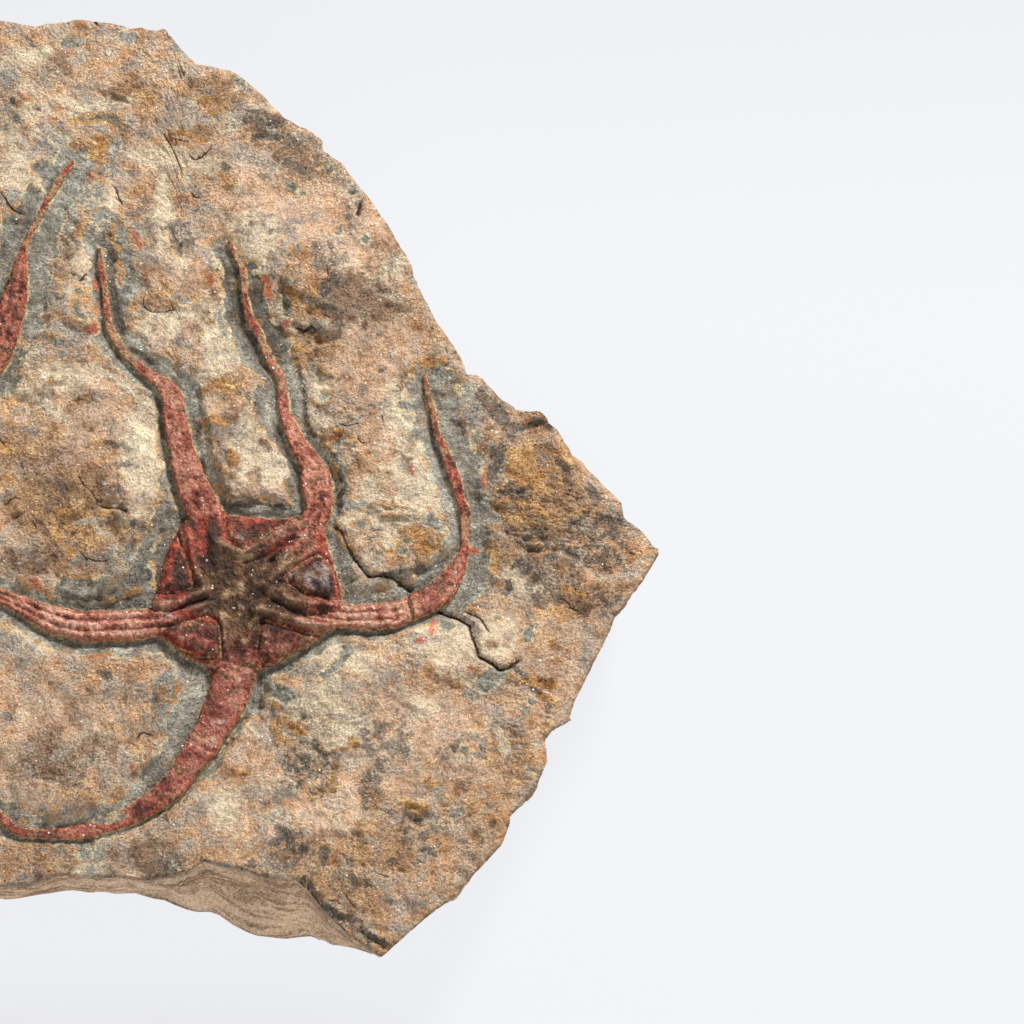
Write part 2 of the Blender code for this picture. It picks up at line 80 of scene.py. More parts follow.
LARGE_STAR_CENTRE = (25.5, -27.5)
LARGE_STAR_DISC = [
    (46.5, -29), (45, -22), (43.5, -17), (41, -11.5), (37, -10), (32.5, -11), (26, -10.5), (21, -9.5),
    (16, -9), (10.5, -12.5), (8, -18.5), (6.5, -25), (5, -30.5), (6.5, -36), (9, -39), (13, -42), (18, -44),
    (23.5, -45.5), (29.5, -44.5), (35.5, -41.5), (39.5, -39), (43, -36.5), (46.5, -35),
]
LARGE_STAR_ARMS = {
    "upper_left": [
        (20, -17.5, 7.5), (16.5, -10, 8), (13.5, -3, 7), (11, 4, 6), (9.5, 11, 5.5), (8.5, 17, 5),
        (6.5, 20.5, 3.5), (3, 23, 2.5), (-0.5, 26, 2), (-3.5, 29.5, 2), (-5.5, 33.5, 2), (-6.5, 38, 1.5),
        (-7, 43, 1.5), (-8, 48, 1.5), (-8.5, 53, 1),
    ],
    "upper": [
        (34, -19.5, 5.5), (38.5, -14.5, 6), (41, -9, 6), (41, -5.5, 7), (40.5, -1.5, 7), (39.5, 2, 5.5),
        (37, 6, 4), (35, 10, 3.5), (33.5, 14, 2.5), (33, 18, 2.5), (32.5, 22, 2), (30.5, 25.5, 2),
        (29, 28.5, 2), (27.5, 32.5, 2), (25.5, 36, 2), (24.5, 40, 1.5), (24, 44, 1.5), (23.5, 48, 1.5),
        (22, 51, 1), (20.5, 55, 0.8),
    ],
    "right": [
        (34, -30.5, 5.5), (42, -32, 5.5), (48.5, -33, 5.5), (55, -33, 6), (59.5, -32, 5.5), (63.5, -30, 6),
        (67.5, -27.5, 6), (70, -24.5, 5), (72, -21, 3.5), (73.5, -17, 2), (73.5, -13.5, 2), (73.5, -9, 2.5),
        (72.5, -6, 2), (71.5, -2, 2.5), (70, 2.5, 2.5), (69, 5.5, 2), (67, 10, 1.5), (66.5, 13.5, 1.5),
        (65.5, 17, 1.5), (65, 19.5, 1.5), (64.5, 23, 0.8),
    ],
    "lower": [
        (24.5, -36.5, 7), (23.5, -44.5, 9), (22.5, -48.5, 9), (21.5, -52, 8.5), (19.5, -56, 8),
        (18, -59.5, 7.5), (15.5, -63.5, 7), (13, -67.5, 6), (10, -71.5, 5.5), (5.5, -75, 5), (1, -78, 4),
        (-4, -80, 3.5), (-9.5, -81.5, 3), (-14, -82, 2.5), (-19, -82, 2), (-23, -81.5, 2), (-26, -79, 2),
        (-29.5, -75.5, 2), (-32, -70, 1.5), (-34, -64.5, 1.5), (-35, -59, 1), (-35, -53.5, 0.8),
    ],
    "left": [
        (14.5, -32, 5.5), (8, -34, 6), (2.5, -34.5, 7), (-4, -35, 7), (-10.5, -35, 7), (-17, -33.5, 6),
        (-22.5, -31, 4.5), (-28, -28.5, 3.5), (-34, -26, 3), (-39.5, -24, 2.5), (-46, -23.5, 2),
        (-52, -24, 2), (-57.5, -26, 1.5), (-63, -29, 1.5), (-67, -33, 1), (-70, -37.5, 0.8),
    ],
}

SMALL_STAR_CENTRE = (-58, 7)
SMALL_STAR_RADIUS = 14.5
SMALL_STAR_CORNER = 0.1
SMALL_STAR_TURN = 35
SMALL_STAR_POINTS = 40
# How far each ridge lies beside its groove, and a plate's corners as radius and turn past an arm, in degrees.
SMALL_RIDGE_ASIDE = 1.9
SMALL_PLATE = ((4, 36), (8, 20), (12, 16), (13, 36), (12, 56), (8, 52))
SMALL_STAR_ARMS = {
    "upper_right": [
        (-49, 12.5, 6), (-43.5, 15, 6), (-38, 19, 6.5), (-33, 25, 7), (-30, 31.5, 7), (-28, 37.5, 6.5),
        (-26.5, 45, 4.5), (-25.5, 52, 2), (-24, 56.5, 1.5), (-22, 61, 1.5), (-20, 65.5, 1.5),
        (-17.5, 70, 1.5), (-15, 74, 1),
    ],
    "upper": [
        (-61, 16, 6), (-64, 23, 6.5), (-67, 32, 6), (-67, 41, 4.5), (-64, 50, 3), (-61, 58, 2),
        (-61, 66, 1.5), (-65, 73, 1.5), (-71, 78, 0.8),
    ],
    "left": [
        (-68, 7, 6), (-75, 8, 6.5), (-84, 10, 5.5), (-91, 15, 4), (-96, 23, 2.5), (-98, 32, 2),
        (-96, 41, 1.5), (-91, 48, 0.8),
    ],
    "lower_left": [
        (-61, -3, 6), (-64.5, -9, 6.5), (-71, -16, 5.5), (-79, -21, 4), (-88, -25, 2.5), (-95, -31, 2),
        (-98, -39, 1.5), (-96, -47, 0.8),
    ],
    "lower_right": [(-50, -0.5, 6), (-45, -5.5, 5.5), (-41, -10, 4.5), (-38.5, -14, 4)],
}

# How plainly an arm shows its three ridges and two furrows, at shares of its length.
ARM_FURROWS = {
    "left": [(0, 1), (0.35, 1), (0.6, 0.6), (1, 0)],
    "right": [(0, 1), (0.27, 0.9), (0.36, 0.12), (1, 0)],
    "upper_left": [(0, 0.5), (0.25, 0.2), (1, 0)],
    "upper": [(0, 0.6), (0.3, 0.3), (0.5, 0), (1, 0)],
    "lower": [(0, 0.3), (0.2, 0.15), (1, 0)],
}
USUAL_FURROWS = [(0, 0.8), (0.5, 0.4), (1, 0)]

# How deep the stars lie in what was dug around them.
CHANNEL_DEPTH_SHARE = 0.34
CHANNEL_DEPTH_LEAST = 0.25
DISC_DEPTH = 1.5
CHANNEL_LEAST = 1.0
CHANNEL_WALL = 1.3
TRENCH_SHARE = 0.4
# How far from an arm's line the ground about it may be dug or stained.
ARM_SURROUNDINGS = 14

# How high the fossils stand on that ground, and how far their undersides lie below it.
DISC_CROWN = 1.9
DISC_UNDERSIDE = 1
ARM_BASE = 0.3
ARM_UNDERSIDE = 1.6
ARM_ROOT_SUNK = 1.3
ARM_JOINT = 1.9
# How wine red each arm is, and how brown the small star's arms are.
ARM_WINE = {"lower": 0.6, "upper": 0.2, "upper_left": 0.5}
USUAL_ARM_WINE = 0.35
SMALL_STAR_DUSK = 0.35

# How wide the grey stain beside each arm is on its left and on its right, at shares of the way to its tip.
GREY_BESIDE_ARMS = {
    "upper_left": [
        (0, 1, 1.5), (0.25, 1.2, 3), (0.45, 1.6, 3), (0.6, 2, 2.6), (0.75, 1.8, 4.2), (0.9, 2.4, 5),
        (1, 3, 4),
    ],
    "upper": [
        (0, 2, 1.5), (0.3, 2.4, 1.6), (0.45, 2.6, 2.6), (0.6, 3.4, 3), (0.75, 3, 3.6), (0.9, 3.6, 1),
        (1, 2.6, 0.2),
    ],
    "right": [
        (0, 3, 1.5), (0.3, 3.4, 1.8), (0.45, 3.6, 3), (0.6, 3.2, 5.5), (0.75, 2.6, 5.5), (0.9, 4, 5),
        (1, 3, 3),
    ],
    "lower": [(0, 3.5, 4.5), (0.2, 1.4, 5), (0.4, 0.6, 3), (0.6, 1.2, 1.6), (0.8, 1.4, 2), (1, 2, 2)],
    "left": [(0, 3.5, 3.5), (0.3, 3.2, 3.4), (0.5, 4.5, 2.2), (0.75, 2.6, 2.2), (1, 2, 2)],
    "upper_right": [(0, 2.5, 3), (0.3, 4, 4), (0.55, 5, 4.5), (0.8, 4.5, 5), (1, 3, 4)],
}
GREY_ELSEWHERE = [(0, 2.6, 2.6), (0.5, 3, 2.4), (1, 1.8, 2.2)]
GREY_BESIDE_DISC = 3.2

# ---- The large star's disc: ridges, grooves and pits as lines, and swollen plates between the arms ----

# Line, height, half width.
DISC_RIDGES = [
    ([(18.5, -16), (21, -17.5), (24.5, -19), (29.5, -16), (32.5, -14), (36, -12)], 1.0, 0.9),
    ([(31, -25), (33.5, -22), (37, -20.5), (40, -18.5)], 0.8, 0.8),
    ([(28.5, -26), (31.5, -27), (36, -30), (40, -30.5), (46.5, -30.5), (52.5, -30.5)], 0.9, 0.9),
    ([(27.5, -32), (29.5, -32), (34, -33.5), (38, -35), (44, -35.5), (53, -36)], 0.9, 0.9),
    ([(17, -27.5), (14, -29), (10.5, -30), (5.5, -31), (0.5, -31.5)], 0.9, 0.8),
    ([(17.5, -30), (13.5, -31.5), (9.5, -33.5), (5, -35.5), (0.5, -36.5)], 0.8, 1.0),
    ([(12, -11.5), (13, -16), (14, -21), (16, -25.5)], 0.8, 0.8),
    ([(17.5, -5), (19.5, -9.5), (20.5, -15.5)], 0.6, 0.7),
    ([(20, -33), (21, -36), (21, -40)], 0.5, 0.6),
    ([(28.5, -32), (26.5, -36), (25.5, -40.5)], 0.5, 0.7),
    ([(21, -25), (24, -26.5), (24.5, -29)], 0.4, 0.9),
]
# Line, depth, half width.
DISC_GROOVES = [
    ([(31.5, -29.5), (35.5, -31.5), (39, -33), (44, -33.5), (53, -33.5)], 0.9, 0.7),
    ([(16.5, -29), (13, -30.2), (9, -32), (5, -33), (0.5, -33.5)], 0.9, 0.6),
    ([(25.5, -21), (29.5, -19.5), (33.5, -17), (39, -14)], 1.1, 0.8),
    ([(16.5, -14), (17, -19), (18.5, -23)], 0.7, 0.8),
    ([(30.8, -20.7), (31.2, -20.3)], 1.5, 0.7),
    ([(39.3, -13.7), (39.7, -13.3)], 1.0, 0.6),
    ([(34.5, -24.5), (38.5, -28), (43, -29)], 0.5, 0.5),
    ([(29, -34.5), (34, -36), (40, -37.5), (46, -37.5)], 0.6, 0.5),
]
# Outline, swell, how wine-red and how slate-blue the plate is.
DISC_PLATES = [
    ([(9.5, -13), (8, -17), (5.5, -27.5), (9.5, -27.5), (14, -26.5), (12.5, -20)], 0.5, 0.5, 0.0),
    ([(20.5, -10), (26, -9.5), (33.5, -10), (36.5, -11), (31.5, -13.5), (28.5, -16), (24.5, -18),
      (21.5, -15.5)], 0.7, 0.8, 0.0),
    ([(41.5, -19), (44.5, -22), (46, -29.5), (40, -29), (36.5, -26), (32.5, -25), (37, -21.5)],
     0.45, 0.3, 0.75),
    ([(29.5, -33.5), (34, -35), (38, -36.5), (44, -37), (40.5, -40), (35, -43), (30, -44), (28, -40.5)],
     0.7, 0.7, 0.2),
    ([(6.5, -36.5), (11, -35), (17, -33), (19.5, -34.5), (20.5, -42.5), (15.5, -42), (10.5, -40)],
     0.8, 1.0, 0.0),
]

# Bright red, pale and near-black tints on the disc: half width, then the line as x, y, x, y and so on. Most
# pale tints lie on ridges and most near-black ones in grooves and pits: partly the disc's own colour, partly
# painted highlight and painted shade.
DISC_FLUSHES = [
    (1.0, 20, -9, 20.8, -12, 21.3, -15), (1.0, 16, -10, 15.5, -15, 16, -18),
    (0.8, 30.5, -18.5, 33, -17.3, 35.5, -16.5), (0.9, 41, -13.5, 42, -16, 42.5, -19),
    (1.2, 10, -14.5, 8.5, -20, 7.5, -25), (0.8, 10, -32.5, 14, -33.2, 19, -34), (0.6, 17.7, -43, 18.5, -46),
    (0.9, 7, -27.8, 12, -28.3), (0.9, 45.5, -24, 46, -28), (0.8, 12.8, -14, 13.2, -19),
    (0.7, 25, -11.5, 30, -11.5), (0.9, 8, -37, 11, -39.5, 15, -42), (1.0, 46, -32.5, 50, -33),
]
DISC_BLOOMS = [
    (0.9, 24.5, -18.7, 29, -15.8, 32, -14, 35, -12.5, 38, -11.5), (0.7, 22, -19, 27, -20),
    (0.6, 27.5, -32, 29, -31.5, 31, -32.3), (0.6, 20.5, -33, 21, -35.5, 21, -38), (0.5, 22.5, -38),
    (0.6, 25.5, -39), (0.9, 21.5, -28, 24, -27), (0.8, 36, -22, 37.5, -24), (1.6, 39, -39.5, 43.5, -37.2),
    (0.7, 31, -24.5, 33.5, -22.3, 37, -20.8), (0.8, 34, -33.8, 40, -35.3), (0.7, 6, -31.3, 9, -30.4),
]
DISC_GLOOMS = [
    (1.3, 17.5, -13, 18, -18, 19, -22), (1.5, 10.5, -21, 11, -25), (1.1, 13.5, -29.8, 18, -28.5),
    (0.8, 31, -20.5), (0.9, 24, -14.5, 27, -15), (1.0, 27, -20.8, 32, -18.5), (0.9, 33.5, -30.8, 38, -32.5),
    (0.9, 40.5, -26, 43, -27.5), (0.8, 30, -35, 34, -36.5), (0.8, 39, -14.2),
    (1.0, 14.5, -11.5, 13.8, -13.5), (0.7, 20.2, -36, 20.4, -41), (0.8, 12.5, -36.5, 15, -36),
]

# ---- Stains and patches on the face, each an ellipse ----

# How far from a stain's edge its field still rises or falls, in millimetres.
PATCH_REACH = 6.0
# How strongly a wide stain covers the stone at most: noise of about 0.4 breaks it up. Streaks cover more.
PATCH_MOST = {"cream": 0.45, "dark": 0.0, "grey": 0.2, "ochre": 0.2, "gold": 0.0}
USUAL_PATCH_MOST = 0.3
# Each wide patch of a stain: x, y, half length, half width, and the turn in degrees if it has one.
PATCHES = {
    "cream": [
        (-27, 98.5, 5.5, 2.5, 10), (-14.5, 87.5, 9.5, 1.5, 4), (-27, 71, 5.5, 4.5), (-8.5, 64.5, 3.5, 4),
        (1.5, 75.5, 4.5, 1.5), (10, 74, 7.5, 2, -5), (5, 61, 2, 9.5), (9.5, 49.5, 2.5, 2, -40),
        (26, 54, 5.5, 6.5, -20), (-12.5, 49, 2, 3), (9.5, 36, 8, 5, 10), (19, 30, 4, 7),
        (27.5, 88, 2.5, 1, 10), (30, 6, 8, 10), (3, 4, 5.5, 9.5, 8), (59.5, 16.5, 4.5, 6.5),
        (63.5, 0.5, 5.5, 10, -10), (51, -10, 4, 4.5), (40, 20, 4, 3), (59, -7.5, 9, 8.5),
        (68.5, -38.5, 7, 5.5), (80.5, -37, 4, 5.5), (85, -24.5, 4, 3), (44, -58, 8, 6.5), (22, -77, 3, 4),
        (64, -54, 4.5, 3), (46.5, 49, 2, 2), (57.5, 48.5, 3, 3, -40), (82.5, 0.5, 2, 2), (-7, -90, 5.5, 2),
        (-3.5, 30, 9.5, 3, -25), (-21.5, -38.5, 6.5, 3, -10), (-2, -20.5, 4.5, 3.5), (-15, 22, 5, 3),
        (74.5, 18, 3, 4.5, -30), (-29.5, 81.5, 3, 4.5), (46.5, -42, 6.5, 3, -10), (-46, 60, 9, 6, 20),
        (-78, 40, 7, 12, -15), (-44, -2, 5, 8, 10), (-84, -10, 9, 5, -30), (-60, -55, 14, 8, 15),
        (-50, 92, 10, 3, -12), (-88, 62, 6, 5), (-46, -78, 9, 4),
    ],
    "grey": [
        (-30, 93, 2, 4), (-29.5, 86, 2, 3), (-26, 57.5, 5, 8.5), (-17, 61, 7, 10.5, -30),
        (-20, 79, 4.5, 2, 20), (-9.5, 83, 5, 1.5, 10), (-5.5, 79, 2, 4, 10), (-8, 72, 2, 2.5),
        (-9.5, 57.5, 2, 4), (-4.5, 56.5, 5, 3, -40), (-1, 47.5, 2, 5.5, 8), (-3.5, 43, 2.5, 9.5, 5),
        (19.5, 44, 2.5, 11.5, 4), (29, 37, 2, 7.5, 12), (33, 41, 1.5, 2.5), (10.5, 40.5, 2, 1.5),
        (9.5, 103.5, 2, 2), (65.5, 10, 3, 14, 12), (71, 11, 5, 10.5, -20), (78, -2, 3, 8, -15),
        (76.5, -20.5, 2.5, 9.5), (70, -35, 2.5, 2), (77.5, -48.5, 3, 3), (31, -51, 6.5, 3.5, -15),
        (39, -67, 4.5, 3.5, -10), (-23, -77.5, 4, 1.5, -10), (-11.5, -78.5, 7.5, 1.5, -8),
        (-5.5, -87.5, 2.5, 3), (11.5, -50, 5.5, 9.5, -20), (-23.5, -38.5, 5, 2.5, -15),
        (-4.5, -20.5, 6.5, 3), (41.5, -20.5, 5, 5.5, -50), (57, -26, 9, 2, 12), (25.5, -50, 3, 3),
        (-21.5, 40.5, 2.5, 9.5), (-17, 33.5, 3, 4.5), (-72, 36, 3, 12), (-57, 40, 3, 14),
        (-86, 20, 8, 4, 30), (-75, -8, 10, 3, 30), (-48, 4, 4, 6), (-80, -70, 8, 5, -20),
    ],
    "ochre": [
        (88, -4, 10.5, 11.5, -20), (86.5, 2, 5.5, 4.5), (85.5, -19, 7.5, 4, -20), (64, -15, 4.5, 3),
        (58.5, -9.5, 4.5, 2.5), (6, 40.5, 4, 2), (37.5, 37, 4, 3.5), (39, 27.5, 4.5, 4),
        (-16.5, -38.5, 2, 2), (-7.5, -17, 11, 8), (-16, -6.5, 11, 8.5), (-22.5, 7.5, 7.5, 6),
        (-16.5, 48.5, 3, 3), (-5, 54.5, 2, 3, -20), (-9, 78, 2.5, 2), (19.5, 21, 3, 3), (9, -51, 3, 2.5),
        (-19, -87.5, 8.5, 3.5), (-11.5, -75, 7, 2, -10), (48, -94.5, 9, 4.5, -20), (98.5, -29, 3.5, 3.5),
        (39, -59, 6, 4.5), (83, -63, 5, 6), (16.5, 91, 6.5, 4), (0, 91, 4.5, 3), (-2.5, 81.5, 1, 1),
        (56, -6, 2.5, 4.5), (34, 40.5, 2, 5.5), (55.5, -86, 7.5, 4.5), (-52, -38, 12, 8, 10),
        (-90, -2, 9, 6), (-44, 78, 9, 6, -20), (-80, 74, 8, 6, 30), (-76, -50, 9, 12),
    ],
    # The pink patch at -18, -76.5 is partly pink stone and partly painted light on the slope below the
    # lower-left ledge.
    "pink": [
        (52.5, 27.5, 7.5, 11, -20), (54, 8.5, 4.5, 3), (45.5, 58.5, 11, 8.5, -30), (36, 67, 9, 7),
        (12, 46.5, 5.5, 3.5, -20), (23, 67, 5.5, 5.5), (-1, 12, 3, 3), (-14, 7.5, 9, 7),
        (-18, -76.5, 10, 2.5, -8), (45, -76, 7, 6), (78, -68, 6, 4), (66, -56.5, 13, 6.5, -10),
        (90, -38.5, 9.5, 8, -30), (59.5, -65.5, 9, 9.5), (94.5, -52, 6.5, 8), (7.5, 33.5, 2.5, 2.5),
        (-15, -55, 9, 7), (-9.5, 17, 7.5, 6), (-55, -20, 9, 6), (-90, 86, 9, 8), (-48, 44, 5, 10),
        (-64, -72, 12, 8),
    ],
    "brown": [
        (49.5, 40.5, 9.5, 5), (-19, 98, 3.5, 3), (-2.5, 91, 2, 2), (27.5, 83.5, 5.5, 2.5, -15),
        (34.5, 79, 3.5, 2, -30), (35.5, 73.5, 5, 3, -15), (-22, -20.5, 5.5, 3), (-17.5, -65.5, 7.5, 6.5),
        (6, -87.5, 7.5, 4), (78.5, 19, 3, 4.5, -35), (-8, -7.5, 7, 4.5), (-21, -8, 5, 4), (-6, -62, 3, 4),
        (-100, 30, 6, 10), (-66, 62, 5, 9), (-92, -48, 8, 10),
    ],
    "dark": [
        (101.5, -15, 7, 7.5, -25), (84, -4, 2, 1.5), (87.5, -13.5, 4, 2), (91.5, -23, 5.5, 5.5),
        (57, -61.5, 5, 5), (54, -70.5, 1.5, 5.5), (64.5, -82, 4, 6), (40, -67, 5.5, 5), (9, 56.5, 2.5, 3),
        (46.5, 59.5, 2.5, 2), (43, 49.5, 3, 3.5), (27.5, 83.5, 3.5, 2, -15), (35.5, 78.5, 2, 1.5, -40),
        (49, -92.5, 2.5, 1.5), (57.5, -88.5, 1.5, 1), (25.5, -90, 8, 1, -12), (42, -98, 7.5, 1, -40),
        (53.5, -105.5, 5, 1, -25), (88, 12.5, 6.5, 2, 10), (9, -90, 3, 2), (7.5, -69, 2, 1.5),
        (74.5, -62.5, 3.5, 3), (103, -29.5, 4.5, 3), (36, -85, 4.5, 3), (43, 40.5, 2.5, 4.5),
        (-2.5, 4, 3, 2), (-86, 52, 3, 4), (-72, -30, 5, 3), (-58, -82, 6, 3), (-104, 12, 3, 6),
    ],
    "red": [],
    "gold": [
        (87, -2, 7.5, 8.5, -20), (83.5, 4.5, 4, 3), (93, 4, 4, 3), (6, 40.5, 3.5, 2), (60, -15, 4, 3),
        (-13, -13, 5, 4), (35, -58, 3, 3), (94, -29, 5, 4), (10, 80, 4, 2),
    ],
}

# Where the stone is smooth and cool in tone.
COOL_PLACES = [
    (-16, 62, 13, 33), (24, 22, 10, 30, 10), (67, 2, 9, 20, 10), (22, -64, 13, 14, -20), (2, 2, 7, 12),
    (-14, 26, 12, 6, -20), (45, -45, 12, 6, 10), (72, -38, 10, 6, -10), (-46, 50, 10, 20),
    (-80, 30, 10, 16), (-60, -60, 14, 10, 20), (9, 47, 9, 16), (32, 58, 8, 6),
]

# Where the dug ground is darker, or lighter for an amount below 0, the stone paler and the fossils paler: by
# how much, then the ellipse.
GROUND_DARKENING_PLACES = [
    (1.7, 28, 38, 6, 13, 10), (0.7, 29, 36, 2.5, 9, 12), (1.5, 20.5, 45, 3.5, 10, 4), (0.8, -5, 41, 4, 12),
    (1.0, -6, -25, 12, 5, 5), (0.3, 14.5, 14, 2, 8), (0.8, 4, -15, 4, 9), (0.9, -28, 62, 4, 12, -20),
    (-0.7, 68, 2, 4, 12, 10), (-0.5, 12, -46, 4, 6), (-0.4, 33, 6, 4, 5), (-1.6, 10, 25, 4, 3, -30),
    (-0.8, 13, 20, 2, 3), (-1.4, 18, 6, 3, 5), (-1.6, 21.5, 52.5, 3, 3), (0.7, 10, -58.5, 3, 3),
    (-1.6, 60.5, -22.5, 6, 2), (0.8, 33, -2, 3, 4), (0.8, 50, -19.5, 4, 3), (0.6, 7, -62.5, 2, 3),
    (0.7, 4, -7, 2, 4), (0.8, -19, 55.5, 4, 4), (0.8, -28.5, -25, 4, 2),
]
# The pale place at -20, -73 is partly paler stone and partly painted light on the slope below the lower-left
# ledge.
PALE_PLACES = [
    (0.7, -20, -55, 4, 3), (0.9, 45, -75, 8, 6), (1.0, -20, -73, 9, 3, -8), (0.7, -5, -60, 5, 5),
    (0.5, 55, -60, 8, 5), (0.7, 40, 70, 9, 7), (0.4, 54, 8, 5, 3), (0.8, 2, 3, 4, 8), (-0.5, 52, 20, 6, 6),
    (-0.5, -15, 0, 8, 6), (0.5, -15, 100, 12, 4), (0.3, -15, 22, 6, 4), (-0.4, -20, 70, 6, 8),
    (-0.6, 23, 9, 6, 6), (0.9, -22, 17, 7, 6), (-1.2, 13, 42, 3, 8), (0.9, -4, -11.5, 4, 3),
    (-0.8, 53.5, 32, 4, 4), (0.9, 86.5, -14, 3, 2), (-0.8, 31, 60, 4, 3), (-0.7, 4, -7, 2, 3),
    (0.9, 50, -91, 6, 2, -10), (-0.9, -29, 80, 3, 4), (-0.7, -13.5, 54, 2, 4), (-0.7, 83.5, -39, 3, 2),
    (-0.7, 59, 2.5, 3, 5), (0.8, 31.5, -79.5, 5, 3), (-0.9, 56.5, 55, 4, 4), (-0.7, 5, 50, 4, 5),
    (0.8, -25.5, 25, 4, 3), (0.8, -18, 8.5, 3, 2), (0.8, -26.5, 92.5, 4, 3), (0.8, 55, -9, 3, 3),
    (0.7, 47, 9, 3, 3), (0.8, 80, 12, 3, 3), (0.8, -6.5, 85.5, 4, 3), (0.8, -27, -66.5, 4, 4),
    (0.8, 75, -63, 4, 3), (0.7, 50.5, -85.5, 5, 2), (0.8, 57.5, -40, 4, 4), (-0.8, -19.5, -20, 4, 3),
    (-0.7, 71.5, -39, 4, 2), (-0.8, 91, -46, 4, 4),
]
PALE_FOSSIL_PLACES = [
    (-0.8, 40, -10, 4, 6), (-0.5, 22, -27, 7, 6), (-0.4, 14, -21, 5, 4), (-0.6, -27, 42, 10, 16),
    (-0.9, 71, -1, 5, 8), (0.6, 55, -33, 9, 6), (0.6, 33, 18, 6, 9), (0.35, -10, -35, 12, 7),
]

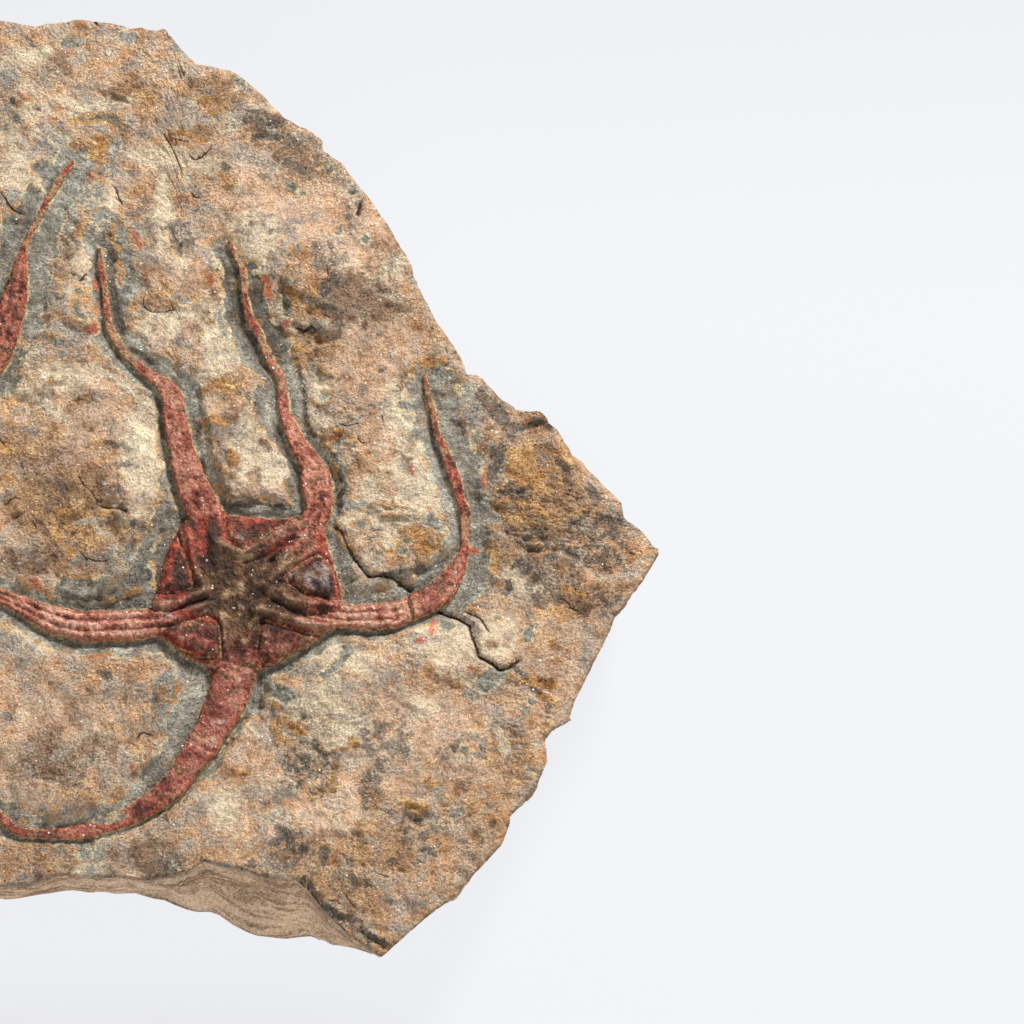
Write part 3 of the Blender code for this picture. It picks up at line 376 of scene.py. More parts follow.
# Streaks and small stains: half width, then the line's points as x, y, x, y and so on.
STREAKS = {
    "gold": [
        (3.0, 84.5, 1.5, 88.5, -0.5), (2.0, 84, 5.5, 87.5, 4.5), (1.0, -19.5, 87, -17.5, 87),
        (0.8, -20.5, 83.5, -19, 84), (0.8, -11, 70.5, -10, 70), (0.8, -3, 81),
        (1.4, -9, 80, -8.5, 78, -10, 76), (0.7, -11, 61, -12, 58.5, -14.5, 56.5, -16, 53.5),
        (0.9, 6, 80.5, 9, 81.5, 11.5, 80.5, 14.5, 79), (1.1, 13.5, 88.5, 15.5, 89.5), (0.6, 6.5, 96.5),
        (0.8, 0.5, 90.5, 3, 88), (1.0, 34, 42.5, 36, 40.5), (0.9, 39, 44, 40, 40.5, 40.5, 37),
        (0.7, -2, 92.5), (0.8, 18.5, 70.5, 20.5, 68.5), (0.6, -14.5, 83.5), (0.9, 21.5, 3, 23, 2.5),
        (0.6, 22, 4.5, 22, 1), (1.5, 18, 20.5, 20, 19.5), (1.0, 16, 11, 18, 12, 20, 11.5),
        (1.4, -29, 7, -27.5, 5), (0.9, -16.5, -14, -15.5, -16), (1.0, -13.5, -17.5, -12, -19.5),
        (0.9, -7.5, -9.5, -5.5, -10), (0.8, -23, 12), (1.0, 36, 29.5, 38.5, 29),
        (0.8, -19, 21, -15.5, 21.5), (0.8, -28, -0.5, -26.5, -1.5), (0.9, -8, 7, -5.5, 6.5),
        (1.2, 95.5, -26, 99, -28), (1.2, 79, -17.5, 79.5, -21.5, 81, -25),
        (1.3, 62.5, -13, 63.5, -15.5, 65, -17), (0.8, 60, -20), (1.0, 44.5, 10.5, 46, 9.5),
        (1.0, 64, 26.5, 66.5, 26, 68.5, 26.5), (0.7, 92, -17.5, 94, -16.5), (0.9, 98, -9, 99.5, -8),
        (0.8, 38, 2.5, 39, -0.5), (0.8, 31.5, -53, 32.5, -53.5), (1.3, 34.5, -57, 36.5, -58, 38, -59.5),
        (1.0, 60, -75, 63, -76, 65.5, -75.5), (0.6, 40.5, -73.5, 43, -72, 45.5, -69.5),
        (1.2, 86.5, -47.5, 89, -47, 92.5, -48), (0.8, 89, -49.5, 93, -52), (0.8, 92, -38, 93, -39.5),
        (1.0, 79, -78.5, 80.5, -80), (0.7, 82, -61.5, 83.5, -62.5), (0.8, 65.5, -66), (0.7, 72, -62.5),
        (0.9, 49, -61, 50, -62.5), (0.8, 65.5, -70.5, 67.5, -71), (0.8, 24, -68, 26.5, -69),
    ],
    "grey": [
        (0.8, -15, 84, -10, 84.5, -6.5, 84, -5, 82, -5, 79, -5.5, 77), (1.1, -6, 78),
        (0.9, -20, 79.5, -17, 79), (1.6, -17, 103.5, -15, 103.5), (1.5, -4, 105, -2, 105),
        (1.4, -14, 72, -13, 69.5, -15, 67, -18, 64), (0.9, -8, 73, -9, 71.5, -8.5, 69.5),
        (0.6, -10, 51.5, -10, 48), (0.8, -9.3, 42.5, -8.3, 40.3),
        (1.1, -12, 55, -10.5, 60, -8, 61.5, -5, 59.5, -2.8, 55, -1.8, 50, -2, 46),
        (0.7, -14, 43, -12.5, 42), (1.2, -7.6, 35.5, -7.8, 33, -8.3, 30.5, -7, 28.5),
        (0.8, -13, 40, -13, 37.5, -12, 36), (1.2, -20.5, 38.5), (0.9, 7, 57, 8.5, 54.5, 9.5, 52),
        (1.4, 0, 44), (1.3, 1, 37.5), (1.2, 11, 40.5), (0.8, 13, 41), (1.0, 11, 71), (1.0, 8, 97.5),
        (1.5, 22, 93), (1.2, 26, 94.5), (0.9, 17, 85), (0.9, 21, 82.5),
        (2.0, 18.5, 54, 19.5, 50, 20.2, 46, 20.6, 42, 21.5, 38, 23, 35, 24, 31, 25, 27.5),
        (1.7, 25.5, 48.5, 26.5, 44, 27, 41, 27.8, 38, 29.5, 35, 31.5, 32, 33.3, 29.5),
        (2.2, -22, 72, -19, 68), (1.0, 33.5, 43.5, 33.5, 40, 34, 37.5),
        (1.2, 33.5, 28, 34.5, 25, 35.5, 22, 36.5, 18.5, 37, 15, 38, 12), (1.1, 42, 18), (0.9, 39.5, 24.5),
        (0.8, 44, 7.5, 47.5, 8), (0.9, 44.5, 4, 46, 1, 46.8, -3, 46.8, -8),
        (1.5, 28, 19, 28.3, 16, 29.3, 12, 30.5, 9),
        (1.3, 11, 22.5, 13, 20, 14.3, 17.5, 14, 14, 14, 10, 14.5, 6), (0.9, 3, 18.5, 5, 16.8, 6, 15),
        (0.8, 6.2, 11, 6.2, 7, 6.5, 4), (1.2, 7, -1, 8, -4),
        (1.4, 8, -7, 7, -9.5, 6, -12, 4, -15, 3, -18, 2, -21), (2.4, -14, -26, -8, -27, -2, -26, 2, -24),
        (1.5, 64.5, 12, 65, 8, 66, 3, 67.5, -1, 69, -6, 70.5, -11, 70, -16, 67.5, -20),
        (2.2, 69, 22, 69.5, 17, 70.5, 12, 71.5, 7, 74, 2, 75.5, -3, 77, -7, 78.5, -10), (1.3, 67.5, 23.5),
        (1.0, 59.5, 16, 62, 15.5), (0.9, 60, 9, 61.5, 7.5), (1.5, 65.5, -11, 67, -12.5), (1.2, 60, -17.5),
        (2.0, 76.5, -12, 76, -17, 76.5, -21, 75, -26, 72, -29), (1.4, 50.5, -12), (1.2, 50, -7, 47, -8),
        (1.9, 77.5, -48.5, 79.5, -46.5, 81, -46), (1.7, 70, -35.5), (1.0, 72.5, -31.5),
        (1.0, 87, -37.5, 87, -36), (1.8, 29, -47, 32, -50, 35, -51.5), (1.5, 28, -53), (1.2, 24, -58),
        (1.2, 43, -47, 48, -41), (2.0, 12, -43, 13.5, -47, 13, -52, 11, -57),
        (1.3, 14, -55, 12, -59, 10, -62), (1.5, 7, -66, 5, -69, 4, -72),
        (1.2, -24, -76, -21, -78.5, -17, -79.5), (1.8, -8, -84, -8.5, -86.5),
        (1.2, 15, -69, 18, -67.5, 20, -66), (1.0, 38, -66), (0.9, 37, -71.5), (1.0, 64, -79), (1.3, 34, 68),
        (1.0, 37, 66.5), (1.2, 43, 72), (1.3, 48, 67.5), (1.0, 36, 53), (0.9, 34.5, 51), (0.9, 45, 57),
        (0.9, 51, 55), (1.0, 80.5, -33), (0.9, 88, -52), (0.9, 86.5, -54), (0.8, 73, -63), (0.8, 76.5, -57),
        (1.0, 87.5, -67.5),
    ],
    "cream": [
        (0.9, 3.5, 68, 4.5, 64, 5, 60, 6, 57, 7, 53, 9, 49.5, 11, 47), (2.4, -13, 48.5),
        (0.6, -6.2, 62.8, -3, 60, -1, 56, -0.3, 52, 0.8, 49),
        (0.9, -10, 25, -6, 23, -3, 21, 0, 18.5, 3, 16.5), (1.0, -25, 31, -22, 29, -25, 26),
        (1.0, -30, 17.5, -27, 19, -24, 19.5, -22.5, 17.5, -19, 16, -17.5, 13.5),
        (0.6, -14.5, 52.5, -16.5, 56, -14.5, 58), (0.6, -19, 51, -20, 48, -19, 46), (1.0, 12, 88),
        (1.2, 21, 92), (1.2, 38.5, 13, 42, 11.5), (0.8, 47.5, 7.5, 49, 5.5, 48.5, 3),
        (1.3, 58, 21, 57.5, 16, 58.5, 12, 60, 10), (0.6, 57.5, 8.5, 59, 6, 61, 4.5),
        (1.2, 66, -3, 67, -5.5, 66.5, -8.5), (0.9, 74.5, 9.5, 75, 6.5), (0.8, 79.5, -24.5, 83, -23),
        (0.6, 27, -57.5, 29, -60.5), (0.7, 22, -74, 20, -79), (2.2, 2, 8, 2.5, 3, 3.5, -2),
        (1.8, -16, 22.5, -13, 22.5), (1.2, 37, -53, 41, -51, 46, -48),
        (0.9, -27, -35, -24, -37.5, -18, -40), (1.2, 58.5, -50, 60, -50.5), (1.4, 63, -53, 65.5, -54),
        (0.8, 62, -61, 61.5, -64), (1.0, 73, -46.5, 74.5, -49), (0.9, 79, -57, 80.5, -60, 82.5, -64),
        (0.9, 31, 52.5), (0.5, 17.5, 52, 18, 48, 18.3, 44.5, 19.5, 42),
        (0.6, 26.5, 47.5, 28.5, 46.8, 30, 43), (0.7, 31.5, 40, 31.7, 37, 33, 34.5, 35.5, 34),
        (0.7, -16, 21, -11, 20.5), (0.8, 38, 34.8, 41, 34.5), (0.7, -12.5, -11.5, -9.5, -11, -6.5, -13.5),
        (0.7, 1, -9.8, 3.5, -9.5, 4, -11.5), (0.9, -4, -17, -2, -18), (0.7, 4.7, -21, 5, -26),
        (0.8, -21.5, 66.5, -27, 75), (0.6, -26, 78, -22, 82),
    ],
    "ochre": [
        (0.6, -3, 81), (0.9, -8, 90, -5, 91.5, -2, 93), (0.8, -19.3, 87, -17.8, 87),
        (1.0, -14.5, 78.5, -12, 79), (0.9, -9.5, 78.5), (0.7, -6.5, 57, -6, 55, -4.5, 53.5, -5, 51),
        (0.6, -8.8, 53.3, -6.5, 52.5), (0.7, -18, 50, -18.3, 47, -18, 45, -17, 42),
        (1.3, -16.5, 37, -13, 34.5, -10, 33), (1.0, -20, 33, -17, 31.5), (0.7, -10, 29, -9, 28),
        (0.6, -12.5, 61.5, -13, 58.5), (1.8, 3, 40, 8, 39.5), (0.9, 16, 38, 15.5, 36, 17, 35.5),
        (0.7, 14, 34, 14.5, 31), (1.2, 33, 35.5), (0.7, 2, 46, 3, 44.5), (1.1, 37, 29, 40, 28, 42, 29.5),
        (0.8, 41, 25, 43, 23.5), (0.9, 38.5, 16.7, 41, 16.3, 42.5, 15.5), (0.9, 42, 9, 46.5, 9.8),
        (0.6, 44, 22.5, 44.3, 19, 44, 16.5), (0.7, 58, 19, 60, 21.5, 60, 24), (1.0, 61.5, 22.5, 61.3, 24),
        (1.2, 66.5, 25.5), (0.8, 71, 24, 73.5, 21.5), (0.7, 53, -8, 58, -7, 62.5, -8.5),
        (0.8, 55, -9.5, 60, -9.3, 63, -10), (1.8, 61, -14, 65, -14.5), (1.6, 63.5, -17, 64, -19.5),
        (0.8, 68.5, -14), (1.3, 49.5, 4, 51, 2.5), (0.9, 48, 1, 52, 0.3, 57, 0),
        (0.9, 20.5, 21, 20, 18, 21.5, 16.5), (0.8, 20, 12.8, 23, 12.7), (0.8, 16, 7.8, 18, 7.2),
        (1.4, 22.3, 3, 23, 1.5), (0.7, 29, 7, 30.5, 6), (0.6, -22.5, -24.5, -20, -26, -17, -28, -15.2, -28),
        (0.9, -16, -21, -15.5, -24), (1.0, -21, -22), (1.0, -10, -18, -8.5, -19),
        (0.8, -11, -12, -9, -11.5), (1.0, 7, -50, 10, -49, 11.5, -49.2), (1.1, 7, -52, 10, -52.7),
        (0.7, 29, -52, 31, -53, 33.5, -53.5), (1.7, 35, -57.5, 37, -58.5),
        (0.7, 41.5, -62, 44, -63.8, 48, -63, 50, -61), (0.9, 46, -67, 45.5, -71, 44, -73),
        (1.3, 61.5, -76, 64.5, -77), (0.8, 22.5, -60.7), (0.8, 78.5, -39, 79.5, -38.8),
        (0.9, 83.5, -46.5, 85, -48), (1.0, -17.5, -91, -15, -90.5), (1.0, 12, 94, 14.5, 93.5),
        (0.9, 16.5, 89), (1.2, 13, 82.5, 15, 81), (0.9, 21.5, 69.5, 20, 67.5), (0.9, 46, 64),
        (0.9, 97, -26, 100, -30), (1.0, 103, -26, 105, -29), (1.0, 92, -60, 91.5, -57.5), (1.0, 51.5, 35.5),
        (1.1, -22, 3.5, -24, 4), (0.9, -25, -9), (0.9, -14, 15.5, -10, 17), (0.9, -6, -1, -9, 1.5),
    ],
    # The first pink streak is partly pink stone and partly painted light on the slope below the lower-left
    # ledge.
    "pink": [
        (1.5, -25, -71, -17, -74.5, -9, -76.5), (1.7, 11.5, 34, 12.3, 31.5), (1.7, 14, 29), (2.0, 19, 57.5),
        (1.0, 27, 0, 27, -3, 26.5, -5), (1.7, 57, -3.5), (1.3, 51.5, -14), (1.8, 78, -31.3),
        (1.4, -24.5, 17.5), (2.0, -25, 13), (1.3, -11, 81.5, -13, 81), (1.5, -4, 3),
    ],
    "brown": [
        (2.4, 46, 41, 52, 40), (0.9, -13, 90.5), (1.4, -20.5, 98, -20.5, 99),
        (0.8, 15, 12, 17, 12, 19.5, 12), (0.8, 19.5, 6.5), (1.5, 18.5, -4), (0.9, 50.5, 3.5, 50.5, 2),
        (1.0, 39, 27), (1.3, 36.5, 33, 38.5, 33), (1.0, 59.5, 5, 60.5, 3.5), (0.9, -4, 49.5, -4, 47),
        (1.3, -3.3, 45), (1.4, 34, -87, 38, -86.5), (1.2, -4, -5), (1.6, -12, -6.5),
        (0.9, -21, 37.5, -19, 36.7), (1.2, 22, -5, 26, -5.5), (1.2, 17, 42.5, 18, 41),
        (1.0, -17, 56, -15, 54),
    ],
    # Dark streaks are partly dark stains and partly painted shadow: in the trenches and under the channel
    # walls beside the arms, above the large star's disc and in the crescent under the lower-left ledge.
    "dark": [
        (0.6, -29, 88.5), (0.7, -25, 102), (0.6, -5, 102), (0.7, 1, 104), (0.6, -4, 97.5),
        (0.7, -14.5, 94.5), (0.7, 9, 96), (0.7, -23.5, 87), (1.0, -5, 43, -4.5, 40, -4, 37, -3.5, 34),
        (0.8, -6, 52, -6, 48, -5.7, 45), (0.8, -1, 29, 1.5, 27.5, 4, 26),
        (0.8, 25, 33, 26.5, 30, 27.5, 27, 29.5, 24.5), (0.7, 31, 11, 33, 7, 35, 3.5, 37.2, 0.8),
        (0.7, 4, 18.5, 6, 16.5), (0.7, 6.7, 12, 6.7, 9), (0.6, 43.5, 4.7, 45.3, 1.5, 46, -3, 46, -9),
        (0.6, 36, 25, 36.6, 22, 37.5, 18.5, 38, 13, 40, 9), (0.7, 14, 12, 14.2, 9),
        (0.8, 15, 3, 16, -1, 17.5, -5), (0.5, 22, -7.2, 27, -6.8, 31, -7, 34, -8),
        (0.7, 65.8, 14, 66.4, 10, 67, 6.5, 68.5, 3), (0.6, 71, 12.5, 73, 10), (0.6, 73, 4, 75.5, 1),
        (0.9, 74.5, -2, 76.5, -5, 78.5, -9), (0.7, 66, 19.5, 68.5, 18.6),
        (0.9, 56, -24, 62, -23, 66, -21.5, 69, -19), (0.9, 78.5, 0, 79.5, 3, 81, 6, 82, 7.5),
        (0.8, 82, -4, 86, -3.5), (0.8, 94.5, 3.5, 96, 1), (1.9, 77.5, 18, 79.5, 15.5, 81.5, 13),
        (1.0, 84, 12, 88, 12.5, 91, 13.5), (1.0, 96, -17, 98, -18.5), (0.8, 87, -16.5, 90, -17),
        (1.4, 101, -2.5, 102.5, -5), (0.4, -21, -65, -19.5, -69, -15, -70.4, -11, -71.3, -7, -72.8),
        (0.8, 16.8, -87.8, 18.5, -89), (0.6, 14, -91, 20, -91.5, 26, -92.5, 31, -92.5),
        (0.7, 35.5, -92.5, 39, -92, 41, -95.5, 43, -98.3), (0.6, 45, -100, 49, -101, 52, -102),
        (0.8, 52, -104, 56, -106), (0.6, 43.5, -67, 41, -70), (0.5, 53.5, -68, 53, -71),
        (0.7, 59.5, -60, 59, -63), (0.6, 84, -43.7, 87, -46.5), (0.7, 88, -49.5, 90, -50),
        (0.6, 91.5, -53, 91.5, -55.5), (0.8, 88.5, -58), (0.9, 57.5, -77.5), (0.9, 62.7, -78.6),
        (0.8, 79.5, -79.7), (1.0, 33, -81, 35, -82, 32, -84), (1.0, 43.5, -86, 43, -88.5),
        (1.0, 57.5, -88.5), (0.8, 7, -77), (0.9, 8.5, -78.5), (0.8, 10.5, -86, 12, -89), (1.0, 1.5, -69),
        (0.8, -9, -69), (0.9, -5.5, -46.2, -4, -47), (0.7, -16.5, -48.5), (0.8, -8.5, -50), (0.7, 6, -52),
        (0.8, -5.5, 7, -4, 5.5), (0.9, -3.3, -4.5), (0.8, -1.3, -9.2), (0.7, 1, -11.8, 3.3, -13),
        (0.7, -16, -6.3), (0.9, -24.7, 1.7), (0.8, -9, 10.3), (0.7, -11.5, -16), (0.9, 27, 84, 29, 83),
        (0.8, 26, 80, 31, 80), (1.0, 34, 80, 35.5, 78.7), (1.0, 19.5, 72.5), (1.2, 33.5, 73.5, 37, 72),
        (0.8, 48, 67), (0.7, 50, 64.5, 49, 61), (0.8, 26, 58.5), (0.6, 30, 56.5), (0.8, 37.5, 41, 40, 40),
        (0.9, 41, 39.5, 43, 38), (0.8, 44, 22.5), (0.7, 41, 15.5), (0.7, 46, 22), (0.8, 55, 24),
        (0.7, 82, -27, 83, -25), (0.8, 94, -22), (0.7, 98.5, -29.5),
    ],
    "red": [
        (0.5, 60.5, 2, 61.5, 1, 62, 0), (0.45, 77, 2, 77.8, -1, 78.3, -3),
        (0.55, -1.5, 57.5, -0.5, 55.5, 0.3, 53.5), (0.7, -9, 35, -8.8, 33, -10.5, 32),
        (0.6, -9.3, 44.7, -9, 43.5), (0.5, -8.8, 39, -8.5, 37.5), (0.65, 28.5, 46, 29.2, 43.5, 30, 41),
        (0.5, 36, 42.5), (0.7, 16, 46.5, 16.3, 45), (0.6, 66.8, -34.5, 66.4, -37.3),
        (0.6, 63.5, -38.7, 64.7, -38.5), (0.6, 17.8, -43.5, 18.5, -46), (0.8, -10.8, 70.2),
        (0.5, -18.8, 87, -18, 87), (0.6, 43, 8.5, 45.5, 9.3), (0.5, 65.5, -8.3), (0.6, 66, 26),
        (0.7, 75, -16.8, 76, -17), (0.6, 11, -49.3), (0.5, 33, 36, 33, 34.5), (0.5, 79, 15),
        (0.6, 1.5, -66.8, 1, -68), (0.5, -22, -24.8, -20, -26.2),
    ],
}

# ---- Breaks in the face: cracks and ledges as lines, flaked hollows as outlines ----

# How far a crack's end and its edges are felt, and its line, depth and half width.
CRACK_END_REACH = 4
CRACK_SURROUNDINGS = 1.5
CRACKS = [
    ([(67.5, -31), (71.5, -33), (74.5, -35), (75.5, -38.5), (76.5, -42), (79, -43), (81.5, -45),
      (83.5, -44), (85, -42.5)], 1.5, 0.55),
    ([(73.5, -31.5), (77, -33.5), (79, -36.5)], 0.7, 0.4),
    ([(44.5, -12), (46.5, -14), (48, -17), (50, -20.5), (51.5, -23), (52.5, -24), (56, -23.5), (59.5, -25),
      (62, -27)], 1.0, 0.6),
    ([(4.5, 81), (6.5, 78.5), (8, 76), (9, 73), (9.5, 71.5)], 0.4, 0.2),
    ([(11.5, 67), (12.5, 66), (14, 65.3)], 0.7, 0.4),
    ([(11, 76), (12.2, 74.5), (13.5, 75), (16, 77)], 0.7, 0.35),
    ([(6.5, 79.5), (9, 79), (11, 79)], 0.5, 0.3),
    ([(-31, 66), (-29.5, 64), (-28.5, 62.5), (-26, 61.2)], 0.7, 0.35),
    ([(-5.5, 68), (-4.5, 65), (-3.5, 63.5)], 0.7, 0.35),
    ([(-9, 88), (-7.5, 87.2)], 0.4, 0.3),
    ([(-13, 45), (-12.2, 46), (-11.3, 47.2)], 0.8, 0.35),
    ([(2, 41.3), (1.7, 39.5), (3, 38), (6, 37.6), (9, 38.2)], 0.4, 0.3),
    ([(35.5, 34.3), (37.5, 33.5), (39, 34.8), (40.3, 34)], 0.8, 0.4),
    ([(42.3, 48.5), (42.8, 46)], 0.6, 0.3),
    ([(49.8, 64.5), (49, 61)], 0.7, 0.45),
    ([(46, 11.3), (48, 11), (50.3, 11.6)], 0.5, 0.3),
    ([(49.6, 8.6), (50, 7.6), (51.3, 7)], 0.6, 0.35),
    ([(54.8, 13.8), (55.4, 11.8)], 0.5, 0.3),
    ([(-12, -0.5), (-10.5, -3), (-8.5, -4.5), (-7.6, -6.5), (-7.5, -7.6), (-5, -7.9), (-2.5, -8), (-1, -9)],
     0.8, 0.35),
    ([(-28, -7.5), (-26, -6), (-24.5, -6)], 0.6, 0.3),
    ([(-21.5, -11), (-20.5, -13)], 0.5, 0.3),
    ([(-16, -11), (-14, -12)], 0.5, 0.3),
    ([(-30, 8.5), (-28, 6.2)], 0.7, 0.35),
    ([(-11, -18), (-9.5, -19.5), (-7, -20), (-5, -20)], 0.7, 0.35),
    ([(2.7, -60.5), (3, -59.3), (5.5, -59.5)], 0.6, 0.35),
    ([(53, -13.5), (54, -13), (55.5, -13)], 0.4, 0.3),
    ([(54.5, -91), (56, -91.3), (57.5, -92)], 0.5, 0.3),
    ([(48, -95.5), (49.5, -98), (50.3, -98.6)], 0.5, 0.3),
    ([(44.5, -97.3), (46.7, -97)], 0.5, 0.3),
    ([(20.5, -91.8), (25, -93.3), (30, -93.3)], 0.6, 0.35),
    ([(95, -28.5), (97, -31), (98.5, -32)], 0.7, 0.4),
    ([(-70, -52), (-62, -56), (-55, -55), (-47, -60)], 0.9, 0.5),
    ([(-92, 60), (-86, 66), (-82, 75)], 0.8, 0.45),
]

# Line, drop of the ground on its right-hand side, and how far that drop reaches.
LEDGES = [
    ([(35, 33), (37.5, 33.5), (39, 34.5), (40.5, 33), (43.5, 33)], 0.8, 4.0),
    ([(-26, -58), (-23.5, -65), (-20.5, -69.8), (-16, -71.5), (-10, -72.6), (-6, -73.9), (-3, -75.5)],
     -2.4, 9.0),
    ([(-13, 45), (-11.3, 47.2), (-10, 47.5)], 0.5, 3.0),
    ([(-12, -0.5), (-10.5, -3), (-8.5, -4.5), (-7.6, -6.5), (-7.5, -7.6), (-1, -9), (4, -8)], -0.9, 6.0),
    ([(36, -92), (39, -92.5), (43.5, -98), (52, -103), (56, -106)], 0.8, 3.0),
    ([(78, 0.5), (79.5, 3.5), (82, 8)], 0.6, 3.0),
]

# The crack across the large star's right arm, the sunken shoulder and the flaked hollow.
ARM_CRACK = [(60.5, -26.5), (61.5, -31), (62, -32.5), (63, -37)]
SHOULDER_OUTLINE = [
    (82.5, 15.5), (81, 9.5), (78.5, 5.5), (78, 0.5), (78.5, -6.5), (81, -13.5), (85.5, -17.5),
    (93.5, -18.5), (98.5, -20.5), (103, -25), (108.5, -22), (125, -10), (112, 10), (95, 30),
]
SHOULDER_DROP = 2.6
HOLLOW_OUTLINE = [
    (-23, -52), (-14.5, -50), (-7, -55.5), (-4.5, -65.5), (-5.5, -72.5), (-10.5, -72), (-15.5, -71),
    (-22.5, -67.5), (-26, -60),
]
HOLLOW_DROP = 1.4
ARM_CRACK_DEPTH = 1.4
# The face's split beds and flakes, how far all its relief lies below the plain face, and its chipped edge.
FACE_BED = 0.55
FLAKE_STEP = 0.42
FACE_LOWERED = 0.35
EDGE_CHIPS = 0.9
# The sides: chips in the rim, rags of the foot, the thickness of a bed, and the ring their noise runs on.
RIM_CHIPS = 0.8
FOOT_RAGS = 0.7
SIDE_BED = 2.3
SIDE_RADIUS = 110
# How far stains drift sideways for each millimetre down a side.
STAIN_DRIFT = 0.7

# ---- How finely each surface is laid out ----

# The height over which the face's peaks are bent down, and how softly.
FACE_CREST = 27.6
CREST_BEND = 0.25
# The place on the face about which its points crowd, and how strongly.
FACE_HEART = (10.0, -4.0)
FACE_CROWDING = 0.3
FACE_CELLS = 280
FINE_SIDE_RINGS = 9
COARSE_SIDE_RINGS = 6
BACK_CELLS = FACE_CELLS // 4
ARM_STEP = 0.3
ARM_STRIPS = 32
DISC_RINGS = 110
DISC_SPOKES = 420
SMALL_DISC_RINGS = 46
SMALL_DISC_SPOKES = 200

# ---- Arrays: noise, distances and outlines ----

# Whole numbers that scatter a lattice place and a seed into a chance number, and the noise's usual span.
SCATTER = (73856093, 19349663, 83492791)
SEED_SCATTER = 39916801
LAST_SCATTER = 1274126177
NOISE_SPAN = 1.6
# Each next octave of noise is this much finer, and moved along by this much.
OCTAVE_STEP = 2.03
OCTAVE_SHIFT = 17.3
# Pieces of a curve between two of its points, and stops of an arm's line that are searched at once.
CURVE_PARTS = 24
STOPS_AT_ONCE = 64
# A distance beyond every real one, and a length that stands for none.
FAR_OFF = 1e9
NO_LENGTH = 1e-9
# The most half widths across a crack, and the least and the most beyond its ends.
CRACK_SPAN = 6
CRACK_BEYOND = (-2, 3)
ARM_COUNT = 5


def lattice_noise(points, seed):
    """Gradient noise from about -1 to 1: every corner of the unit cell around a point has a direction drawn
    from its whole-number place, and the eight slopes are blended with a smooth fifth-power fade."""
    cell = np.floor(points).astype(np.int64)
    local = points - cell
    fade = local**3 * (local * (local * 6 - 15) + 10)
    total = np.zeros(points.shape[:-1])
    for corner in product((0, 1), repeat=3):
        a, b, c = np.moveaxis((cell + corner) * SCATTER, -1, 0)
        key = a ^ b ^ c ^ seed * SEED_SCATTER
        key = (key ^ (key >> 13)) * LAST_SCATTER & 0x7FFFFFFF
        turn = (key & 0xFFFF) / 65536 * math.tau
        rise = (key >> 16 & 0x7FFF) / 16384 - 1
        level = np.sqrt(1 - rise**2)
        slope = np.stack([level * np.cos(turn), level * np.sin(turn), rise], -1)
        weight = np.where(corner, fade, 1 - fade).prod(-1)
        total += weight * (slope * (local - corner)).sum(-1)
    return total * NOISE_SPAN


def rough(points, size, octaves, seed, gain=0.5):
    """Noise summed over octaves, the first one size millimetres across and each next one half as wide."""
    total, strength, scale = 0, 1, 1 / size
    for octave in range(octaves):
        total = total + strength * lattice_noise(points * scale + octave * OCTAVE_SHIFT, seed + octave)
        strength, scale = strength * gain, scale * OCTAVE_STEP
    return total


def spots(x, y, z=0.0):
    """Coordinates gathered into one array of points."""
    return np.stack([x, y, np.broadcast_to(z, np.shape(x))], -1)


def smooth_step(low, high, value):
    """0 below low, 1 above high, and a soft S between them."""
    share = np.clip((np.asarray(value, float) - low) / (high - low), 0, 1)
    return share * share * (3 - 2 * share)


def bell(value, width):
    """1 at 0, falling away on both sides as a bell of the given width."""
    return np.exp(-((value / width) ** 2))


def terraces(value, step, edge):
    """The value brought to level treads a step apart, with steep risers that take up an edge share."""
    level = value / step
    share = level % 1
    return step * (np.floor(level) + smooth_step(0.5 - edge / 2, 0.5 + edge / 2, share))


def box_around(x, y, points, reach):
    """Which places lie in the box around some points, widened by a reach on every side."""
    low, high = np.min(points, 0) - reach, np.max(points, 0) + reach
    return (x > low[0]) & (x < high[0]) & (y > low[1]) & (y < high[1])


def smooth_path(points, step):
    """Points a step apart on a Catmull-Rom curve through the given points. Every column is carried along."""
    given = np.array(points, float)
    ends = np.vstack([2 * given[0] - given[1], given, 2 * given[-1] - given[-2]])
    share = np.linspace(0, 1, CURVE_PARTS, endpoint=False)[:, None]
    runs = []
    for before, start, end, after in zip(ends, ends[1:], ends[2:], ends[3:]):
        bend = 2 * before - 5 * start + 4 * end - after
        twist = -before + 3 * start - 3 * end + after
        runs.append(0.5 * (2 * start + (end - before) * share + bend * share**2 + twist * share**3))
    dense = np.vstack([*runs, given[-1:]])
    along = np.r_[0, np.cumsum(np.linalg.norm(np.diff(dense[:, :2], axis=0), axis=1))]
    stops = np.linspace(0, along[-1], max(2, round(along[-1] / step)) + 1)
    return np.column_stack([np.interp(stops, along, column) for column in dense.T])


def line_distance(x, y, line):
    """Distance to a broken line, with its sign: positive on the left of the way the line runs."""
    nearest = np.full(np.shape(x), FAR_OFF)
    side = np.ones(np.shape(x))
    for (ax, ay), (bx, by) in zip(line, line[1:]):
        dx, dy = bx - ax, by - ay
        share = np.clip(((x - ax) * dx + (y - ay) * dy) / ((dx * dx + dy * dy) or NO_LENGTH), 0, 1)
        gap = np.hypot(x - ax - share * dx, y - ay - share * dy)
        cross = dx * (y - ay) - dy * (x - ax)
        closer = gap < nearest
        nearest = np.where(closer, gap, nearest)
        side = np.where(closer, np.sign(cross), side)
    return nearest * np.where(side == 0, 1, side)


def inside_distance(x, y, outline):
    """Distance to a closed outline, positive inside it, from counting how often a ray to +X crosses it."""
    closed_line = outline + outline[:1]
    crossings = np.zeros(np.shape(x), int)
    for (ax, ay), (bx, by) in zip(closed_line, closed_line[1:]):
        spans = (ay > y) != (by > y)
        reach = ax + (y - ay) * (bx - ax) / ((by - ay) or NO_LENGTH)
        crossings += spans & (x < reach)
    return np.abs(line_distance(x, y, closed_line)) * np.where(crossings % 2, 1, -1)


